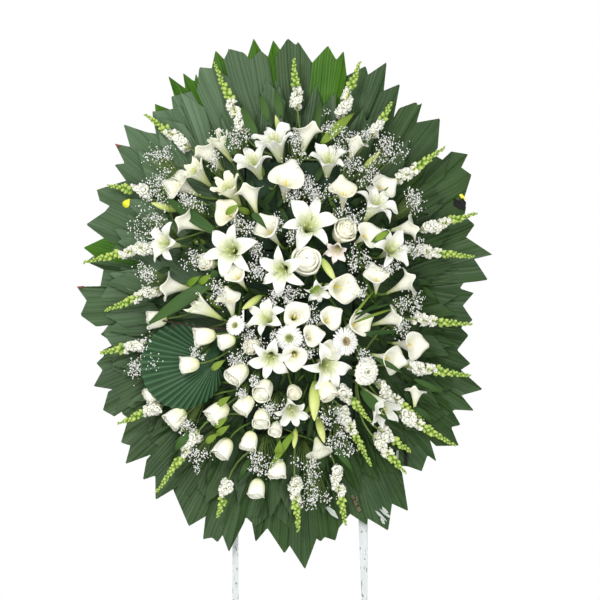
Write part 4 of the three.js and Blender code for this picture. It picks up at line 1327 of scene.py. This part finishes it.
def plant_swords():
    """The sword leaves one by one, and the short lime-green leaves in one piece."""
    for k, (x, y, bx, by, wide, lift, low, bright) in enumerate(SWORDS):
        piece = Piece(("sword_leaf", "lime_leaf", "yellow_scrap")[bright])
        sword(piece, (x, y), (bx, by), wide, lift, low, 0)
        piece.build(f"sword_leaf_{k + 1:02d}", "palm_leaf", thickness=0.6)
    piece = Piece("lime_leaf")
    for x, y in OVALS:
        sword(piece, (x + 20, y + 14), (x - 18, y - 14), 19, 8, -4, 0, bow=5, rows=7)
    piece.build("lime_leaves", "palm_leaf", thickness=0.5)


# Scraps over the collar: material, height off the rails, and their corners as seen from ahead.
SCRAPS = [
    ("torn_leaf", 24, (250, -588), (262, -594), (280, -612), (286, -622), (272, -612), (258, -600)),
    ("torn_leaf", 25, (262, -584), (274, -588), (294, -604), (292, -611), (276, -600)),
    ("torn_leaf", 26, (270, -577), (280, -584), (290, -596), (284, -596), (272, -586)),
    ("torn_leaf", 24, (268, -606), (276, -614), (280, -628), (272, -626), (266, -614)),
    ("torn_leaf", 24, (110, -580), (120, -577), (138, -590), (149, -614), (128, -602)),
    ("withered_leaf", 24, (182, -548), (190, -544), (196, -556), (188, -561)),
    ("withered_leaf", 25, (188, -564), (198, -559), (204, -572), (196, -579)),
    ("withered_leaf", 24, (198, -582), (206, -577), (213, -589), (205, -594)),
    ("withered_leaf", 25, (196, -549), (201, -550), (205, -563), (199, -563)),
    ("rust_leaf", 16, (-594, 41), (-572, 43), (-586, 34)),
    ("rust_leaf", 16, (-488, 449), (-470, 444), (-482, 438)),
    ("yellow_scrap", 24, (492, 302), (500, 306), (507, 298), (512, 290), (503, 288)),
    ("black_plastic", 26, (478, 292), (494, 284), (503, 294), (513, 280), (509, 258), (494, 262),
     (476, 272)),
    ("black_plastic", 24, (334, -415), (343, -417), (342, -466), (333, -458)),
    ("black_plastic", 22, (300, -418), (310, -420), (309, -452), (301, -448)),
    ("torn_leaf", 23, (312, -420), (318, -421), (317, -450), (311, -448)),
]


# The twig and its side shoot: the radii, and the points as across, up and lift off the dome.
TWIGS = [
    [(2.4, 2.2, 2.6, 2.8), (-345, -56, -20), (-300, -62, 4), (-240, -74, 2), (-165, -78, -10)],
    [(1.8, 1.4, 0.9), (-300, -62, 4), (-322, -74, 2), (-336, -84, -6)],
]


def plant_scraps():
    """The creased scraps, and the twig."""
    for k, (material, w, *corners) in enumerate(SCRAPS):
        piece = Piece(material)
        rim, t, length = along_line(corners + corners[:1], lambda length: 25)
        middle = rim[:-1].mean(axis=0)
        rows = []
        for s in np.linspace(0.02, 1, 6):
            crease = 1.6 * np.sin(5 * t / length * 2 * math.pi) * s
            rows.append(laid(middle + (rim - middle) * s, w + crease))
        piece.grid(np.array(rows), tint=rng.uniform(0, 0.4))
        slot = "black_plastic" if material == "black_plastic" else "palm_leaf"
        piece.build(f"scrap_{k + 1:02d}", slot, thickness=0.5)
    twig = Piece("twig")
    for radii, *points in TWIGS:
        twig.tube([on_dome(*point) for point in points], [radius * MM for radius in radii])
    twig.build("twig", "rose")


FAN_ROOM = {"across": -285, "up": -185, "radius": 125}  # no small leaf lies over the fan leaf
# Small leaves grow in an oval, in rings that have from the fewest leaves to that and more.
SMALL_LEAVES = {
    "middle": (5, -6),
    "half": (385, 490),
    "rings": 9,
    "fewest": 24,
    "more": 62,
    "long": (44, 82),
    "wide": (9, 20),
    "lime": 0.05,
}
FOAM_ROOM = (150, 380)  # half the size of the oblong in which the leaves clear the foam


def plant_small_leaves():
    """Small leaves under the flowers, in rings from the foam to the palm leaves."""
    rings = SMALL_LEAVES["rings"]
    for ring in range(rings):
        piece = Piece("small_leaf", "lime_leaf")
        share = (ring + 0.5) / rings
        for _ in range(int(SMALL_LEAVES["fewest"] + SMALL_LEAVES["more"] * share)):
            angle = rng.uniform(0, 2 * math.pi)
            radius = share + rng.uniform(-0.08, 0.08)
            x = SMALL_LEAVES["half"][0] * radius * math.cos(angle) + SMALL_LEAVES["middle"][0]
            y = SMALL_LEAVES["half"][1] * radius * math.sin(angle) + SMALL_LEAVES["middle"][1]
            out = angle + rng.uniform(-1.1, 1.1)
            long = rng.uniform(*SMALL_LEAVES["long"])
            tip = (x + long * math.cos(out), y + long * math.sin(out))
            if math.hypot(tip[0] - FAN_ROOM["across"], tip[1] - FAN_ROOM["up"]) < FAN_ROOM["radius"]:
                continue
            height = dome(x, y)
            low = 0.34 * height
            if abs(x - BOARD_RIGHT) < FOAM_ROOM[0] and abs(y) < FOAM_ROOM[1]:
                low = max(FOAM_FACE + 3, 0.42 * height)
            lift = rng.uniform(low - height, 0.80 * (low - height))
            tilt = rng.uniform(0, 16)
            bright = int(rng.uniform() < SMALL_LEAVES["lime"])
            wide = rng.uniform(*SMALL_LEAVES["wide"])
            sword(piece, tip, (x, y), wide, lift + tilt, lift, bright, bow=6, rows=6)
        piece.build(f"small_leaves_ring_{ring + 1}", "palm_leaf", thickness=0.5)


# Sprays of baby's breath: across, up, radius.
BREATH = [
    (-150, 470, 50), (-350, 405, 45), (-270, 280, 45), (-380, 225, 60), (-380, 330, 40), (-120, 210, 40),
    (-260, 120, 40), (-80, 140, 40), (-80, 90, 40), (30, 300, 40), (100, 300, 45), (25, 430, 35),
    (25, 180, 30), (-15, 220, 25), (120, 500, 30), (165, 460, 40), (220, 470, 30), (280, 420, 60),
    (190, 380, 40), (230, 360, 30), (190, 240, 40), (210, 120, 40), (360, 280, 45), (360, 160, 35),
    (300, 90, 30), (10, 20, 35), (-200, 30, 40), (-400, 70, 40), (70, -40, 35), (-100, -110, 45),
    (-140, -160, 35), (60, -130, 30), (350, -10, 40), (330, -75, 40), (-410, -170, 50), (-250, -145, 25),
    (-30, -310, 40), (-120, -260, 30), (-70, -450, 50), (130, -335, 40), (170, -395, 45), (60, -480, 40),
    (90, -535, 45), (-240, -435, 30), (-280, -340, 30), (-90, -220, 20), (225, -160, 25), (-30, -95, 20),
    (20, 465, 30), (-200, 395, 25), (60, 330, 30), (-40, 0, 25), (205, 30, 25),
]


KNOTS = 9  # each spray's blossoms stand in so many knots
BLOSSOMS = 4.6  # for each millimetre of a spray's radius
STALK_SHARE = 0.22  # of the blossoms have a stalk that shows


def plant_breath():
    """Tiny blossoms in loose knots, with some of their stalks."""
    for k, (x, y, radius) in enumerate(BREATH):
        blossoms, stalks = Piece("breath"), Piece("stem")
        root = on_dome(x * 0.8, y * 0.8, -70)
        knots = rng.normal(0, 0.42, (KNOTS, 2)) * radius
        for _ in range(int(radius * BLOSSOMS)):
            dx, dy = knots[rng.integers(KNOTS)] + rng.normal(0, 0.22, 2) * radius
            spot = on_dome(x + dx, y + dy, rng.uniform(-26, 16))
            size = rng.uniform(2.8, 5.6)
            turn = Matrix.Rotation(rng.uniform(0, 6), 3, "Z")
            blossoms.place([blob(rng, 3, 4)], spot, turn, size * MM)
            mid = root.lerp(spot, 0.6) + OUT * 0.008
            if rng.uniform() < STALK_SHARE:
                stalks.tube([root, mid, spot], 0.45 * MM, sides=3, tint=0.6)
        blossoms.build(f"breath_{k + 1:02d}_blossoms", "gerbera")
        stalks.build(f"breath_{k + 1:02d}_stalks", "snapdragon")


# ---------------------------------------------------------------- the easel and foam
def dress_frame():
    """Gives the CAD solids that stay in view their materials."""
    by_slot = {part["node"]: part["material_slot"] for part in frame["record"]["subparts"]}
    for name, node in frame["nodes"].items():
        slot = by_slot[name]
        if slot in ("white_timber", "zinc", "foam", "black_plastic"):
            node.data.materials.clear()
            node.data.materials.append(MATERIALS[slot])


make_camera()
make_light()
make_floor()
dress_frame()
plant_palm_leaves()
plant_collar()
plant_fan_leaf()
plant_bunches()
plant_spikes()
plant_swords()
plant_scraps()
plant_small_leaves()
plant_breath()
